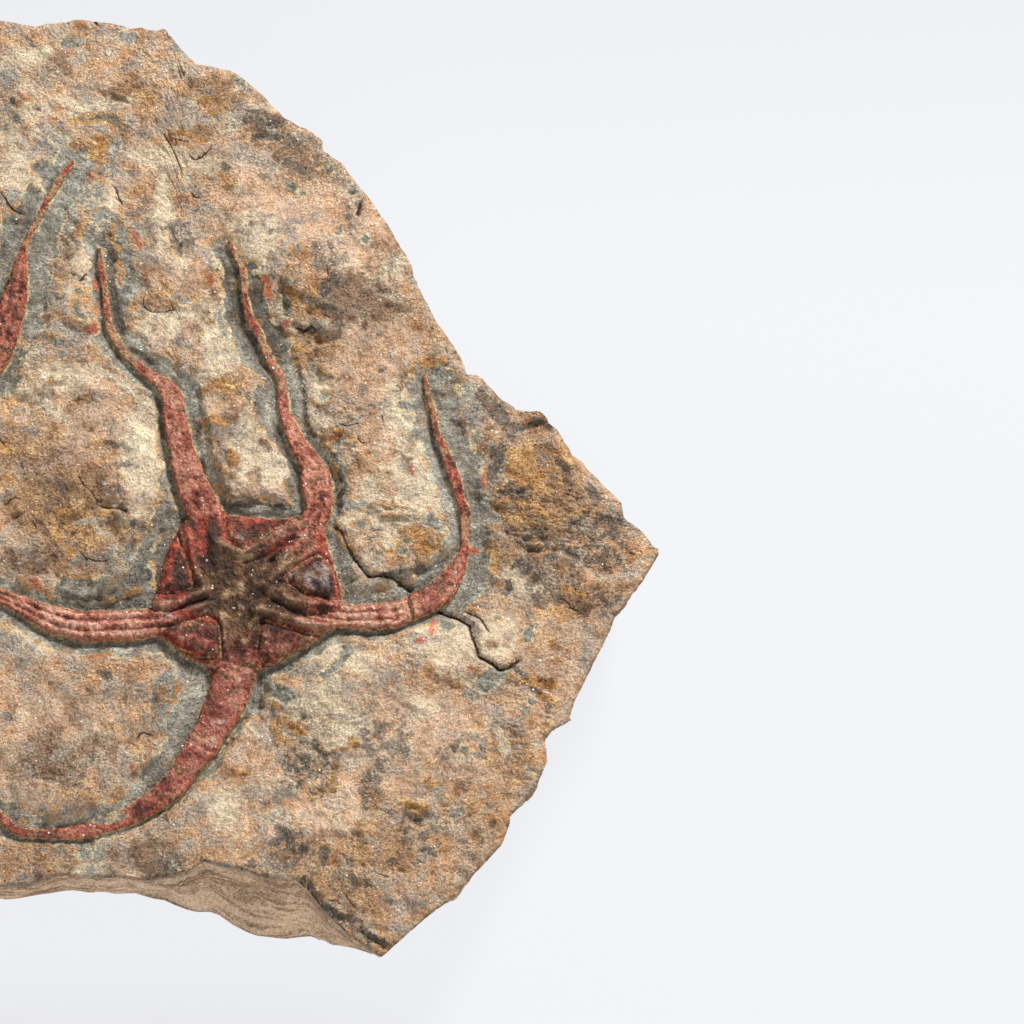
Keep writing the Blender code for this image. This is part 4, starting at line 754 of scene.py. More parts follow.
def torn_edge(x, y):
    """The noise that makes the edges of cracks, ledges and hollows ragged."""
    return rough(spots(x, y), 7, 3, 11)


def crack_fields(x, y, cracks):
    """For the nearest crack: the signed way across it in half widths, carried straight on past its ends, and
    how far a point lies beyond its ends or away from it."""
    across, beyond = np.full(np.shape(x), FAR_OFF), np.full(np.shape(x), FAR_OFF)
    jagged = 0.35 * torn_edge(x, y)
    for line, _, half_width in cracks:
        past = []
        for (end_x, end_y), (last_x, last_y) in ((line[0], line[1]), (line[-1], line[-2])):
            run_x, run_y = end_x - last_x, end_y - last_y
            ahead = ((x - end_x) * run_x + (y - end_y) * run_y) / math.hypot(run_x, run_y)
            past.append(np.where(np.hypot(x - end_x, y - end_y) < CRACK_END_REACH, ahead, -FAR_OFF))
        signed = line_distance(x, y, line) + jagged
        away = np.maximum(np.maximum(*past), np.abs(signed) - CRACK_SURROUNDINGS)
        closer = away < beyond
        across = np.where(closer, signed / half_width, across)
        beyond = np.minimum(beyond, away)
    return np.clip(across, -CRACK_SPAN, CRACK_SPAN), np.clip(beyond, *CRACK_BEYOND)


def patch_field(x, y, patches):
    """The highest over all patches of a cone in millimetres: 0 on a patch's edge and rising inwards."""
    best = np.full(np.shape(x), -PATCH_REACH)
    for middle_x, middle_y, half_length, half_width, *turn in patches:
        angle = math.radians(*turn or [0])
        across, up = x - middle_x, y - middle_y
        long_way = (across * math.cos(angle) + up * math.sin(angle)) / half_length
        short_way = (-across * math.sin(angle) + up * math.cos(angle)) / half_width
        size = math.sqrt(half_length * half_width)
        best = np.maximum(best, (1 - np.hypot(long_way, short_way)) * size)
    return np.minimum(best, PATCH_REACH)


def weighted_field(x, y, places):
    """The sum of the amounts of the soft-edged ellipses that cover each point."""
    return sum(most * smooth_step(-2.5, 1.5, patch_field(x, y, [ellipse])) for most, *ellipse in places)


def streak_field(x, y, streaks):
    """The highest over all streaks of how far a point lies inside the streak's half width."""
    best = np.full(np.shape(x), -PATCH_REACH)
    for half_width, *places in streaks:
        line = list(zip(places[::2], places[1::2]))
        near = box_around(x, y, line, PATCH_REACH)
        inside = half_width - np.abs(line_distance(x[near], y[near], line + line[-1:]))
        best[near] = np.maximum(best[near], inside)
    return best


# ---- Arms and discs as lines and outlines ----


class Limb:
    """An arm's line from its disc to its tip, with its width, its sideways direction, its grey border on
    either side and how plain its furrows are."""

    def __init__(self, points, grey, furrows):
        path = smooth_path(points, ARM_STEP)
        self.middle, self.width = path[:, :2], path[:, 2]
        forward = np.gradient(self.middle, axis=0)
        forward /= np.linalg.norm(forward, axis=1, keepdims=True)
        self.sideways = np.column_stack([-forward[:, 1], forward[:, 0]])
        share = np.linspace(0, 1, len(path))
        stops, left, right = np.array(grey, float).T
        self.grey_left, self.grey_right = np.interp(share, stops, left), np.interp(share, stops, right)
        stops, plain = np.array(furrows, float).T
        self.furrow = np.interp(share, stops, plain)

    def nearest(self, x, y):
        """For each point: the index of the nearest stop on the line, and the signed way across it."""
        index = np.zeros(np.shape(x), int)
        gap = np.full(np.shape(x), FAR_OFF)
        for start in range(0, len(self.middle), STOPS_AT_ONCE):
            part = self.middle[start : start + STOPS_AT_ONCE]
            squared = (x[..., None] - part[:, 0]) ** 2 + (y[..., None] - part[:, 1]) ** 2
            best = squared.argmin(-1)
            least = np.take_along_axis(squared, best[..., None], -1)[..., 0]
            closer = least < gap
            gap = np.where(closer, least, gap)
            index = np.where(closer, best + start, index)
        offset = np.stack([x, y], -1) - self.middle[index]
        across = (offset * self.sideways[index]).sum(-1)
        return index, np.copysign(np.sqrt(gap), across)


class Star:
    """A brittle star's disc outline and arms, and the ridges, grooves and plates of its disc."""

    def __init__(self, title, centre, outline, arms, ridges, grooves, plates):
        self.title, self.centre, self.outline = title, np.array(centre, float), outline
        self.ridges, self.grooves, self.plates = ridges, grooves, plates
        self.arms = {}
        for place, points in arms.items():
            grey = GREY_BESIDE_ARMS.get(place, GREY_ELSEWHERE)
            self.arms[place] = Limb(points, grey, ARM_FURROWS.get(place, USUAL_FURROWS))

    def radius(self, angle):
        """The disc's radius in a direction, from its outline's points."""
        points = np.array(self.outline, float) - self.centre
        angles = np.arctan2(points[:, 1], points[:, 0])
        order = np.argsort(angles)
        return np.interp(angle, angles[order], np.linalg.norm(points, axis=1)[order], period=math.tau)

    def disc_distance(self, x, y):
        """How far a point lies outside the disc, along the line to its centre."""
        across, up = x - self.centre[0], y - self.centre[1]
        return np.hypot(across, up) - self.radius(np.arctan2(up, across))


def from_small_centre(radius, angle):
    """The place at a radius and an angle from the small star's centre."""
    return (SMALL_STAR_CENTRE[0] + radius * math.cos(angle), SMALL_STAR_CENTRE[1] + radius * math.sin(angle))


def small_disc_outline():
    """Outline of the small star's disc: a circle drawn out towards its five arms."""
    turn = math.radians(SMALL_STAR_TURN)
    angles = np.arange(SMALL_STAR_POINTS) * math.tau / SMALL_STAR_POINTS
    radii = SMALL_STAR_RADIUS * (1 + SMALL_STAR_CORNER * np.cos(ARM_COUNT * (angles - turn)))
    return [from_small_centre(radius, angle) for radius, angle in zip(radii, angles)]


def small_disc_parts():
    """The small star's disc by rule: a pair of ridges with a groove between them towards each arm, and a
    wedge-shaped plate between neighbouring arms."""
    ridges, grooves, plates = [], [], []
    for arm in range(ARM_COUNT):
        angle = math.radians(SMALL_STAR_TURN + arm * 360 / ARM_COUNT)
        out = np.array([math.cos(angle), math.sin(angle)])
        left = np.array([-math.sin(angle), math.cos(angle)])
        for side in (-SMALL_RIDGE_ASIDE, SMALL_RIDGE_ASIDE):
            line = [tuple(SMALL_STAR_CENTRE + out * reach + left * side) for reach in (3, 8, 13)]
            ridges.append((line, 0.8, 0.9))
        grooves.append(([tuple(SMALL_STAR_CENTRE + out * reach) for reach in (2, 8, 14)], 0.7, 0.8))
        outline = [from_small_centre(radius, angle + math.radians(turn)) for radius, turn in SMALL_PLATE]
        plates.append((outline, 0.6, 0.6, 0.3 * (arm % 2)))
    return ridges, grooves, plates


STARS = [
    Star("large_star", LARGE_STAR_CENTRE, LARGE_STAR_DISC, LARGE_STAR_ARMS,
         DISC_RIDGES, DISC_GROOVES, DISC_PLATES),
    Star("small_star", SMALL_STAR_CENTRE, small_disc_outline(), SMALL_STAR_ARMS, *small_disc_parts()),
]


def channel_depth(width):
    """How deep the channel's floor lies below the face beside an arm of this width."""
    return CHANNEL_DEPTH_LEAST + CHANNEL_DEPTH_SHARE * np.asarray(width) / 2


def dug_field(x, y):
    """For each point of the face: its distance from the nearest arm or disc, how deep it was dug, and how
    far it lies inside the grey stain. The floor is flat near a fossil, with a narrow trench along its edge,
    and a wall rises from it to the face."""
    far_off = np.full(np.shape(x), PATCH_REACH * 2)
    nothing = np.zeros(np.shape(x))
    gaps = []
    for star in STARS:
        gaps.append((star.disc_distance(x, y), DISC_DEPTH, GREY_BESIDE_DISC))
        for limb in star.arms.values():
            near = box_around(x, y, limb.middle, ARM_SURROUNDINGS)
            gap, floor, border = far_off.copy(), nothing.copy(), nothing.copy()
            index, across = limb.nearest(x[near], y[near])
            gap[near] = np.abs(across) - limb.width[index] / 2
            floor[near] = channel_depth(limb.width[index])
            border[near] = np.where(across > 0, limb.grey_left[index], limb.grey_right[index])
            gaps.append((gap, floor, border))
    swing = rough(spots(x, y), 8, 3, 13)
    fray = rough(spots(x, y), 2.2, 2, 17)
    distance, depth, grey = far_off, nothing, np.full(np.shape(x), -PATCH_REACH)
    for gap, floor, border in gaps:
        stained = border * (1 + 0.5 * swing) + 0.5 * fray - gap
        wall = smooth_step(-CHANNEL_WALL, 0.5 * CHANNEL_WALL, np.maximum(stained, CHANNEL_LEAST - gap))
        trench = TRENCH_SHARE * bell(gap - 0.6, 0.8) * floor
        distance = np.minimum(distance, gap)
        depth = np.maximum(depth, floor * wall + trench)
        grey = np.maximum(grey, stained)
    return distance, depth, grey


# ---- The face's height and stains ----


def plain_face(x, y):
    """Height of the undug face: level, thinner towards the point and the top edge, and gently uneven."""
    thinner = 2 * smooth_step(50, 116, x) + 0.8 * smooth_step(60, 109, y)
    swell = np.sin(x / 17 + 0.6) * np.cos(y / 23 - 0.4) + 0.5 * np.sin((x + y) / 11)
    return SLAB_THICKNESS - thinner + FACE_SWELL * swell


def under_crest(z):
    """Heights with their peaks bent over softly a little above the crest."""
    return np.where(z > FACE_CREST, FACE_CREST + CREST_BEND * np.tanh((z - FACE_CREST) / CREST_BEND), z)


def face_fields(x, y):
    """Every stain's place on the face in millimetres inside its edge, with the edges pulled about by two
    sizes of noise, a slow change of tone, and how crumbly the stone is, from what stains it."""
    place = spots(x, y)
    warped_x, warped_y = (
        plain + 1.9 * rough(place, 8, 3, wide) + 0.8 * rough(place, 2.4, 2, fine)
        for plain, wide, fine in ((x, 151, 157), (y, 163, 167))
    )
    near_x, near_y = 0.6 * x + 0.4 * warped_x, 0.6 * y + 0.4 * warped_y
    worn = 0.22 * rough(place, 3.0, 3, 181)
    streaks = {name: streak_field(near_x, near_y, STREAKS[name]) + worn for name in PATCHES}
    fields = {}
    for name, listed in PATCHES.items():
        others = np.max([field for other, field in streaks.items() if other != name], axis=0)
        most = PATCH_MOST.get(name, USUAL_PATCH_MOST)
        patch = np.clip(0.4 * patch_field(warped_x, warped_y, listed), -2, most)
        fields[name] = np.minimum(patch, -others)
        fields[name + "_streak"] = streaks[name]
    over_grey = [field for name, field in streaks.items() if name not in ("grey", "dark")]
    fields["over"] = np.max(over_grey, axis=0)
    cool = smooth_step(-3, 3, patch_field(warped_x, warped_y, COOL_PLACES))
    fields["tone"] = 0.8 * rough(place, 17, 4, 173, 0.6) + 0.35 - 1.1 * cool
    fields["ground_darkening"] = weighted_field(x, y, GROUND_DARKENING_PLACES)
    fields["lift"] = weighted_field(x, y, PALE_PLACES)
    fields["crack"], fields["beyond"] = crack_fields(x, y, CRACKS)
    stained = {name: smooth_step(-0.8, 0.4, fields[name]) for name in PATCHES}
    rusty = np.maximum(streaks["ochre"], streaks["gold"])
    stained["ochre"] = np.maximum(stained["ochre"], smooth_step(-0.5, 0.3, rusty))
    crumb = 0.45 + 0.4 * stained["ochre"] + 0.3 * stained["brown"] + 0.1 * stained["dark"]
    crumb -= 0.3 * stained["pink"] + 0.3 * stained["cream"]
    fields["crumb"] = np.clip(crumb + 0.3 * fields["tone"], 0.08, 1)
    return fields


def face_relief(x, y, dug_distance, fields):
    """What flaking, splitting and weathering did to the face: a sunken shoulder, a flaked hollow, cracks,
    ledges, thin split beds and crumbs, all smoothed where the stone was dug."""
    place = spots(x, y)
    ragged = torn_edge(x, y)
    far = smooth_step(0.5, 4.5, dug_distance)
    shoulder = inside_distance(x, y, SHOULDER_OUTLINE) + 1.2 * ragged
    relief = -SHOULDER_DROP * smooth_step(-0.3, 1.6, shoulder) * (1 - 0.45 * smooth_step(6, 20, shoulder))
    relief += 0.5 * bell(shoulder + 1.2, 1.2)
    hollow = inside_distance(x, y, HOLLOW_OUTLINE) + 1.0 * ragged
    relief -= HOLLOW_DROP * smooth_step(-0.5, 4.5, hollow) * far
    for line, drop, reach in LEDGES:
        across = line_distance(x, y, line) + 0.4 * ragged
        relief -= drop * smooth_step(0.35, -0.35, across) * smooth_step(-reach, 0, -np.abs(across))
    for line, depth, half_width in CRACKS:
        relief -= depth * bell(line_distance(x, y, line) + 0.3 * ragged, half_width)
    crumb = fields["crumb"]
    beds = 1.3 * rough(place, 19, 4, 31, 0.5)
    beds = 0.3 * beds + 0.7 * terraces(beds + 0.1 * rough(place, 2.5, 2, 37), FACE_BED, 0.25)
    lumps = rough(place, 7, 4, 23, 0.55)
    flakes = terraces(1.2 * lumps + 0.1 * rough(place, 1.9, 1, 43), FLAKE_STEP, 0.3)
    hackle = 0.75 - np.abs(rough(place, 5.0, 4, 29, 0.6))
    grit = np.abs(rough(place, 2.2, 3, 41, 0.6))
    relief += beds * (0.25 + 0.75 * far)
    relief += (0.85 * flakes + 0.8 * hackle) * crumb * (0.12 + 0.88 * far)
    relief -= 0.5 * grit * (0.3 + 0.7 * far) * (0.4 + 0.6 * crumb)
    raised = 0.3 * smooth_step(-0.3, 0.6, fields["ochre_streak"])
    sunk = 0.35 * smooth_step(-0.2, 0.7, fields["dark_streak"])
    relief += raised + 0.15 * smooth_step(-0.3, 0.3, fields["cream_streak"]) - sunk
    relief -= 0.3 * smooth_step(-0.3, 0.6, fields["grey_streak"])
    return relief - FACE_LOWERED


# ---- Meshes from arrays ----


def mesh_piece(name, points, faces, node, finish, fields):
    """A closed mesh piece from millimetre points and triangles that stands for a node: it hides the node's
    own part and rides with the root.
    """
    mesh = bpy.data.meshes.new(name)
    mesh.vertices.add(len(points))
    mesh.vertices.foreach_set("co", np.ascontiguousarray(points * MM, dtype=np.float32).ravel())
    mesh.loops.add(faces.size)
    mesh.loops.foreach_set("vertex_index", np.ascontiguousarray(faces, dtype=np.int32).ravel())
    mesh.polygons.add(len(faces))
    mesh.polygons.foreach_set("loop_start", np.arange(0, faces.size, 3, dtype=np.int32))
    mesh.update(calc_edges=True)
    mesh.shade_smooth()
    for field, values in fields.items():
        layer = mesh.attributes.new(field, "FLOAT", "POINT")
        layer.data.foreach_set("value", np.ascontiguousarray(values, dtype=np.float32))
    mesh.materials.append(finish)
    piece = bpy.data.objects.new(name, mesh)
    bpy.context.scene.collection.objects.link(piece)
    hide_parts(node)
    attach(piece, "root")


def triangles(*corners):
    """Triangles from three arrays of vertex numbers."""
    return np.stack(corners, -1).reshape(-1, 3)


def quads(a, b, c, d):
    """Two triangles for each quad a, b, c, d, given anticlockwise as seen from outside."""
    return np.concatenate([triangles(a, b, c), triangles(a, c, d)])


def square_grid(cells):
    """Vertex numbers of a square grid by column and row, and the numbers around it anticlockwise from the
    lower right corner."""
    number = np.arange((cells + 1) ** 2).reshape(cells + 1, cells + 1)
    around = np.concatenate([number[-1, :-1], number[:0:-1, -1], number[0, :0:-1], number[:-1, 0]])
    return number, around


def around_square(cells):
    """For the points of a square grid: the share of the way out from the middle, and the turn from 0 to 1
    from the lower right corner."""
    share = np.linspace(-1, 1, cells + 1)
    across, along = np.meshgrid(share, share, indexing="ij")
    out = np.maximum(np.abs(across), np.abs(along))
    safe = np.where(out > 0, out, 1)
    a, b = across / safe, along / safe
    right, top, left, bottom = (1 + b) / 8, 0.25 + (1 - a) / 8, 0.5 + (1 - b) / 8, 0.75 + (1 + a) / 8
    near = 1 - 1e-6
    turn = np.where(a > near, right, np.where(b > near, top, np.where(a < -near, left, bottom)))
    return out.ravel(), turn.ravel() % 1


def halving_band(upper, lower):
    """Triangles between a ring and a ring below it that has half as many points."""
    first, middle = upper[0::2], upper[1::2]
    after, next_below = np.roll(first, -1), np.roll(lower, -1)
    thirds = ((first, lower, middle), (middle, lower, next_below), (middle, next_below, after))
    return np.concatenate([triangles(*corners) for corners in thirds])


# ---- The slab ----


def rim_points(turn):
    """The rim at a turn from 0 to 1, straight between its points."""
    points = np.array(RIM + RIM[:1], float)
    steps = np.arange(len(points))
    place = turn * len(RIM)
    return np.stack([np.interp(place, steps, points[:, 0]), np.interp(place, steps, points[:, 1])], -1)


def pushed_out(flat, push):
    """Flat places moved straight away from the slab's middle by so many millimetres."""
    return flat * (1 + push / np.linalg.norm(flat, axis=-1))[..., None]


def rim_at(turn):
    """The rim with chips broken inwards by noise."""
    rim = rim_points(turn)
    place = spots(rim[..., 0], rim[..., 1])
    chips = np.abs(rough(place, 5, 3, 53)) * smooth_step(-0.3, 0.5, rough(place, 23, 1, 55))
    return pushed_out(rim, -RIM_CHIPS * chips)


def foot_at(turn):
    """The foot of the side under a rim point: undercut all round, and thrown outwards at the lower edge."""
    rim = rim_points(turn)
    along, reaches = np.array(FOOT_REACH, float).T
    reach = np.where(rim[..., 1] < 0, np.interp(rim[..., 0], along, reaches), reaches[0])
    ragged = np.abs(FOOT_RAGS * rough(spots(rim[..., 0], rim[..., 1]), 14, 3, 59))
    return pushed_out(rim, reach - ragged)


def side_points(turn, level, top, bottom):
    """A side's points: from rim to foot on a soft S, then stepped in and out by beds of the stone, each bed
    with its own hardness, and hackled by noise. Heights run from bottom to top."""
    rim, foot = rim_at(turn), foot_at(turn)
    flat = foot + (rim - foot) * smooth_step(0, 1, level)[..., None]
    height = bottom + (top - bottom) * level
    angle = math.tau * turn
    ring_x, ring_y = SIDE_RADIUS * np.cos(angle), SIDE_RADIUS * np.sin(angle)
    wander = 1.6 * rough(spots(ring_x, ring_y), 24, 2, 61)
    step = terraces(height + wander, SIDE_BED, 0.3)
    ledge = rough(spots(ring_x / 22, ring_y / 22, step * 0.74), 1, 2, 67)
    facets = rough(spots(ring_x, ring_y, height), 11, 3, 71)
    fade = smooth_step(0, 0.12, level) * smooth_step(1, 0.93, level)
    flat = pushed_out(flat, (1.3 * ledge + 0.9 * facets - 0.5) * fade)
    return np.concatenate([flat, height[..., None]], -1)


def back_height(x, y, out, turn):
    """Height of the underside: flat at its middle, rising unevenly to its rim, and pitted by noise."""
    rise = BACK_RISE * smooth_step(BACK_FLAT_SHARE, 1, out) * (0.55 + 0.45 * np.sin(turn * math.tau * 5 + 1))
    pits = rough(spots(x, y), 12, 4, 73)
    return rise + BACK_PITS * np.clip(pits, 0, None)


def build_slab(finish):
    """The slab as one closed surface: a square grid stretched over the face, finer about the large star,
    rings down the sides, which halve in number twice, and a coarser square grid over the back."""
    number, around = square_grid(FACE_CELLS)
    out, turn = around_square(FACE_CELLS)
    rim, heart = rim_at(turn), np.array(FACE_HEART)
    out = (1 - FACE_CROWDING) * out + FACE_CROWDING * out**3
    x, y = (heart + (rim - heart) * out[:, None]).T
    dug_distance, dug_depth, dug_grey = dug_field(x, y)
    fields = face_fields(x, y)
    to_rim = (1 - out) * np.linalg.norm(rim - heart, axis=1)
    chipped = (0.5 + 0.5 * rough(spots(x, y), 9, 2, 79)) * bell(to_rim, 1.6)
    z = plain_face(x, y) + face_relief(x, y, dug_distance, fields) - dug_depth - EDGE_CHIPS * chipped
    z = under_crest(z)
    blocks = [np.column_stack([x, y, z])]
    faces = [quads(number[:-1, :-1], number[1:, :-1], number[1:, 1:], number[:-1, 1:])]

    rim_turn, rim_top = turn[around], z[around]
    ring, count = around, number.size
    rings = FINE_SIDE_RINGS + COARSE_SIDE_RINGS
    for step in range(1, rings + 1):
        halve = step in (FINE_SIDE_RINGS, rings)
        if halve:
            rim_turn, rim_top = rim_turn[::2], rim_top[::2]
        foot_flat = foot_at(rim_turn)
        foot_height = back_height(foot_flat[:, 0], foot_flat[:, 1], np.ones(len(rim_turn)), rim_turn)
        level = np.full(len(rim_turn), 1 - step / rings)
        blocks.append(side_points(rim_turn, level, rim_top, foot_height))
        below = np.arange(count, count + len(rim_turn))
        count += len(rim_turn)
        if halve:
            faces.append(halving_band(ring, below))
        else:
            faces.append(quads(ring, below, np.roll(below, -1), np.roll(ring, -1)))
        ring = below

    back_out, turn = around_square(BACK_CELLS)
    back_x, back_y = (foot_at(turn) * back_out[:, None]).T
    back = np.column_stack([back_x, back_y, back_height(back_x, back_y, back_out, turn)])
    number, around = square_grid(BACK_CELLS)
    place = np.full(number.size, -1)
    place[around] = ring
    free = place < 0
    place[free] = np.arange(count, count + free.sum())
    blocks.append(back[free])
    number = place[number]
    faces.append(quads(number[:-1, :-1], number[:-1, 1:], number[1:, 1:], number[1:, :-1]))

    points = np.vstack(blocks)
    beyond = points[len(x) :]
    sunk = SLAB_THICKNESS - beyond[:, 2]
    beyond_fields = face_fields(beyond[:, 0] - STAIN_DRIFT * sunk, beyond[:, 1] + STAIN_DRIFT * sunk)
    fields = {name: np.concatenate([values, beyond_fields[name]]) for name, values in fields.items()}
    plain = np.full(len(beyond), PATCH_REACH)
    fields["dug"] = np.concatenate([dug_distance, plain])
    grey = np.maximum(dug_grey, fields["grey_streak"][: len(x)])
    fields["halo"] = np.concatenate([np.minimum(grey, -fields.pop("over")[: len(x)]), -plain])
    fields["side"] = np.concatenate([np.zeros(len(x)), smooth_step(0, 4, sunk)])
    mesh_piece("slab_of_siltstone", points, np.vstack(faces), "matrix_slab", finish, fields)


# ---- Arms and discs as surfaces ----

# Over what length arms rise out of their disc.
LARGE_ARM_RISE = 8
SMALL_ARM_RISE = 5


def build_arm(star, place, limb, finish):
    """An arm: a steep-sided dome with three ridges and two furrows along it, carried along its line, with
    ragged edges, shallow joints, a lumpy skin and a sunk flat underside, closed at both ends.
    It rises out of its disc over its first stretch."""
    large = star.title == "large_star"
    rise_length = LARGE_ARM_RISE if large else SMALL_ARM_RISE
    count = len(limb.middle)
    along = (np.arange(count) * ARM_STEP)[:, None]
    share = np.linspace(-1, 1, ARM_STRIPS + 1)[None, :]
    middle, sideways, width = limb.middle, limb.sideways, limb.width[:, None]
    half = width / 2
    left_rags, right_rags = (
        (0.09 * half[:, 0] * rough(spot, 4, 2, 83) + 0.16 * rough(spot, 1.3, 2, 89))[:, None]
        for spot in (spots(*middle.T, 0.0), spots(*middle.T, 40.0))
    )
    reach = half + np.where(share > 0, left_rags, right_rags)
    x = middle[:, :1] + sideways[:, :1] * share * reach
    y = middle[:, 1:] + sideways[:, 1:] * share * reach
    spot = spots(x, y)
    side = np.abs(share)
    arch = np.clip(1 - side**3.2, 0, None) ** 0.5
    furrow = limb.furrow[:, None]
    wander = share + 0.12 * rough(spots(*middle.T, 80.0), 9, 2, 93)[:, None] + 0.05 * rough(spot, 2.2, 2, 95)
    waves = np.cos(3 * math.pi * wander)
    lumps = 0.34 * rough(spot, 2.6, 2, 97) + 0.26 * rough(spot, 1.0, 2, 101)
    joints = 0.07 * np.sin(along * math.tau / ARM_JOINT + 2.2 * side + 2.5 * rough(spot, 3, 2, 103))
    skin = (lumps + joints * (width > 2.5)) * np.clip(width / 5, 0.3, 1)
    risen = smooth_step(0, rise_length, along)
    body = ARM_BASE * arch + half * arch * (0.3 + 0.065 * furrow * waves) + skin * arch
    floor = (plain_face(*middle.T) - channel_depth(limb.width))[:, None]
    z = floor + body - ARM_ROOT_SUNK * (1 - risen)
    if place == "right":
        across = line_distance(x, y, ARM_CRACK) + 0.25 * rough(spot, 2, 2, 107)
        z = z - ARM_CRACK_DEPTH * bell(across, 0.35)

    ones = np.ones_like(z)
    fields = {
        "ridge": 0.4 + furrow * (0.45 * waves + 0.4),
        "groove": furrow * smooth_step(-0.45, -0.95, waves) * smooth_step(0.85, 0.7, side),
        "dusk": (1 - risen) * ones if large else SMALL_STAR_DUSK * ones,
        "edge": (side * half - half) * ones,
        "bare": smooth_step(3.4, 1.6, width) * ones,
        "lift": weighted_field(x, y, PALE_FOSSIL_PLACES),
    }
    x, y = np.hstack([x, x[:, ::-1]]), np.hstack([y, y[:, ::-1]])
    z = np.hstack([z, np.broadcast_to(floor - ARM_UNDERSIDE, z.shape)])
    around = x.shape[1]
    number = np.arange(count * around).reshape(count, around)
    after = np.roll(number, -1, axis=1)
    start, end = np.full(around, count * around), np.full(around, count * around + 1)
    faces = [
        quads(number[:-1], number[1:], after[1:], after[:-1]),
        triangles(start, number[0], after[0]),
        triangles(end, after[-1], number[-1]),
    ]
    ends = np.column_stack([x[[0, -1]].mean(1), y[[0, -1]].mean(1), z[[0, -1]].mean(1)])
    points = np.vstack([np.stack([x, y, z], -1).reshape(-1, 3), ends])
    fields = {key: np.r_[np.hstack([v, v[:, ::-1]]).ravel(), 0, 0] for key, v in fields.items()}
    fields["wine"] = np.full(len(points), ARM_WINE.get(place, USUAL_ARM_WINE))
    name = f"{star.title}_arm_{place}"
    mesh_piece(name + "_skin", points, np.vstack(faces), name, finish, fields)


def disc_tint(x, y, lines):
    """How far, from 0 to 1, a tint covers the large star's disc along its lines."""
    return smooth_step(-0.5, 0.4, streak_field(x, y, lines) + 0.4 * rough(spots(x, y), 1.8, 2, 135))


def disc_relief(star, x, y, share):
    """Height of a disc above its bed, and the fields that colour it. A low dome with a steep rim carries
    ridges and grooves along lines, and a swollen plate inside each plate's outline with a seam about it."""
    sway = 0.35 * rough(spots(x, y), 3.5, 3, 109)
    height = DISC_CROWN * (1 - 0.25 * share**2) * np.clip(1 - share**12, 0, 1) ** 0.5 + ARM_BASE
    crest, seam, wine, slate = (np.zeros(np.shape(x)) for _ in range(4))
    plate_edge = np.full(np.shape(x), -PATCH_REACH)
    for outline, swell, redness, blueness in star.plates:
        inside = inside_distance(x, y, outline) + sway
        body = smooth_step(-0.2, 2.4, inside)
        height += swell * body - 0.5 * bell(inside + 0.2, 0.45)
        seam = np.maximum(seam, bell(inside + 0.2, 0.4))
        wine, slate = np.maximum(wine, redness * body), np.maximum(slate, blueness * body)
        plate_edge = np.maximum(plate_edge, inside)
    for line, rise, half_width in star.ridges:
        crest_here = bell(line_distance(x, y, line) + sway, half_width)
        height += rise * crest_here
        crest = np.maximum(crest, crest_here)
    for line, fall, half_width in star.grooves:
        groove_here = bell(line_distance(x, y, line) + 0.7 * sway, half_width)
        height -= fall * groove_here
        seam = np.maximum(seam, groove_here)
    return height, crest, seam, wine, slate, plate_edge


def build_disc(star, rings, spokes, finish):
    """A disc: rings of points from its centre to its outline, its underside sunk flat in the slab."""
    centre_x, centre_y = star.centre
    share = np.linspace(0, 1, rings + 1)[1:]
    angle = np.arange(spokes) * math.tau / spokes - math.pi
    ring_share, ring_angle = np.meshgrid(share, angle, indexing="ij")
    wobble = 0.4 * rough(spots(7 * np.cos(ring_angle), 7 * np.sin(ring_angle)), 1.2, 3, 113)
    radius = (star.radius(ring_angle) + wobble) * ring_share
    x = np.r_[centre_x, (centre_x + radius * np.cos(ring_angle)).ravel()]
    y = np.r_[centre_y, (centre_y + radius * np.sin(ring_angle)).ravel()]
    share = np.r_[0, ring_share.ravel()]
    height, crest, seam, wine, slate, plate_edge = disc_relief(star, x, y, share)
    skin = 0.26 * rough(spots(x, y), 3, 4, 127, 0.6) - 0.15 * np.abs(rough(spots(x, y), 1.1, 2, 131))
    z = under_crest(plain_face(x, y) - DISC_DEPTH + height + skin * np.clip(1 - share**12, 0, 1))
    number = 1 + np.arange(rings * spokes).reshape(rings, spokes)
    after = np.roll(number, -1, axis=1)
    low = number[-1] + spokes
    low_after = np.roll(low, -1)
    faces = [
        quads(number[:-1], number[1:], after[1:], after[:-1]),
        triangles(np.zeros(spokes, int), number[0], after[0]),
        quads(number[-1], low, low_after, after[-1]),
        triangles(np.full(spokes, low[-1] + 1), low_after, low),
    ]
    low_x, low_y = np.r_[x[number[-1]], centre_x], np.r_[y[number[-1]], centre_y]
    underside = np.column_stack([low_x, low_y, plain_face(low_x, low_y) - DISC_DEPTH - DISC_UNDERSIDE])
    points = np.vstack([np.column_stack([x, y, z]), underside])
    rim_edge = (share - 1) * star.radius(np.arctan2(y - centre_y, x - centre_x))
    fields = {
        "ridge": 0.2 + 0.6 * crest,
        "groove": seam,
        "wine": np.maximum(wine, 0.5),
        "slate": slate,
        "edge": np.maximum(rim_edge, -np.abs(plate_edge) * 1.3 - 0.8 * (share < 0.45)),
        "lift": weighted_field(x, y, PALE_FOSSIL_PLACES),
        "dusk": smooth_step(0.95, 0.3, share),
        "flush": disc_tint(x, y, DISC_FLUSHES),
        "bloom": disc_tint(x, y, DISC_BLOOMS),
        "gloom": disc_tint(x, y, DISC_GLOOMS),
    }
    fields = {key: np.r_[values, np.zeros(len(underside))] for key, values in fields.items()}
    name = star.title + "_disc"
    mesh_piece(name + "_skin", points, np.vstack(faces), name, finish, fields)


# ---- Shader maths ----


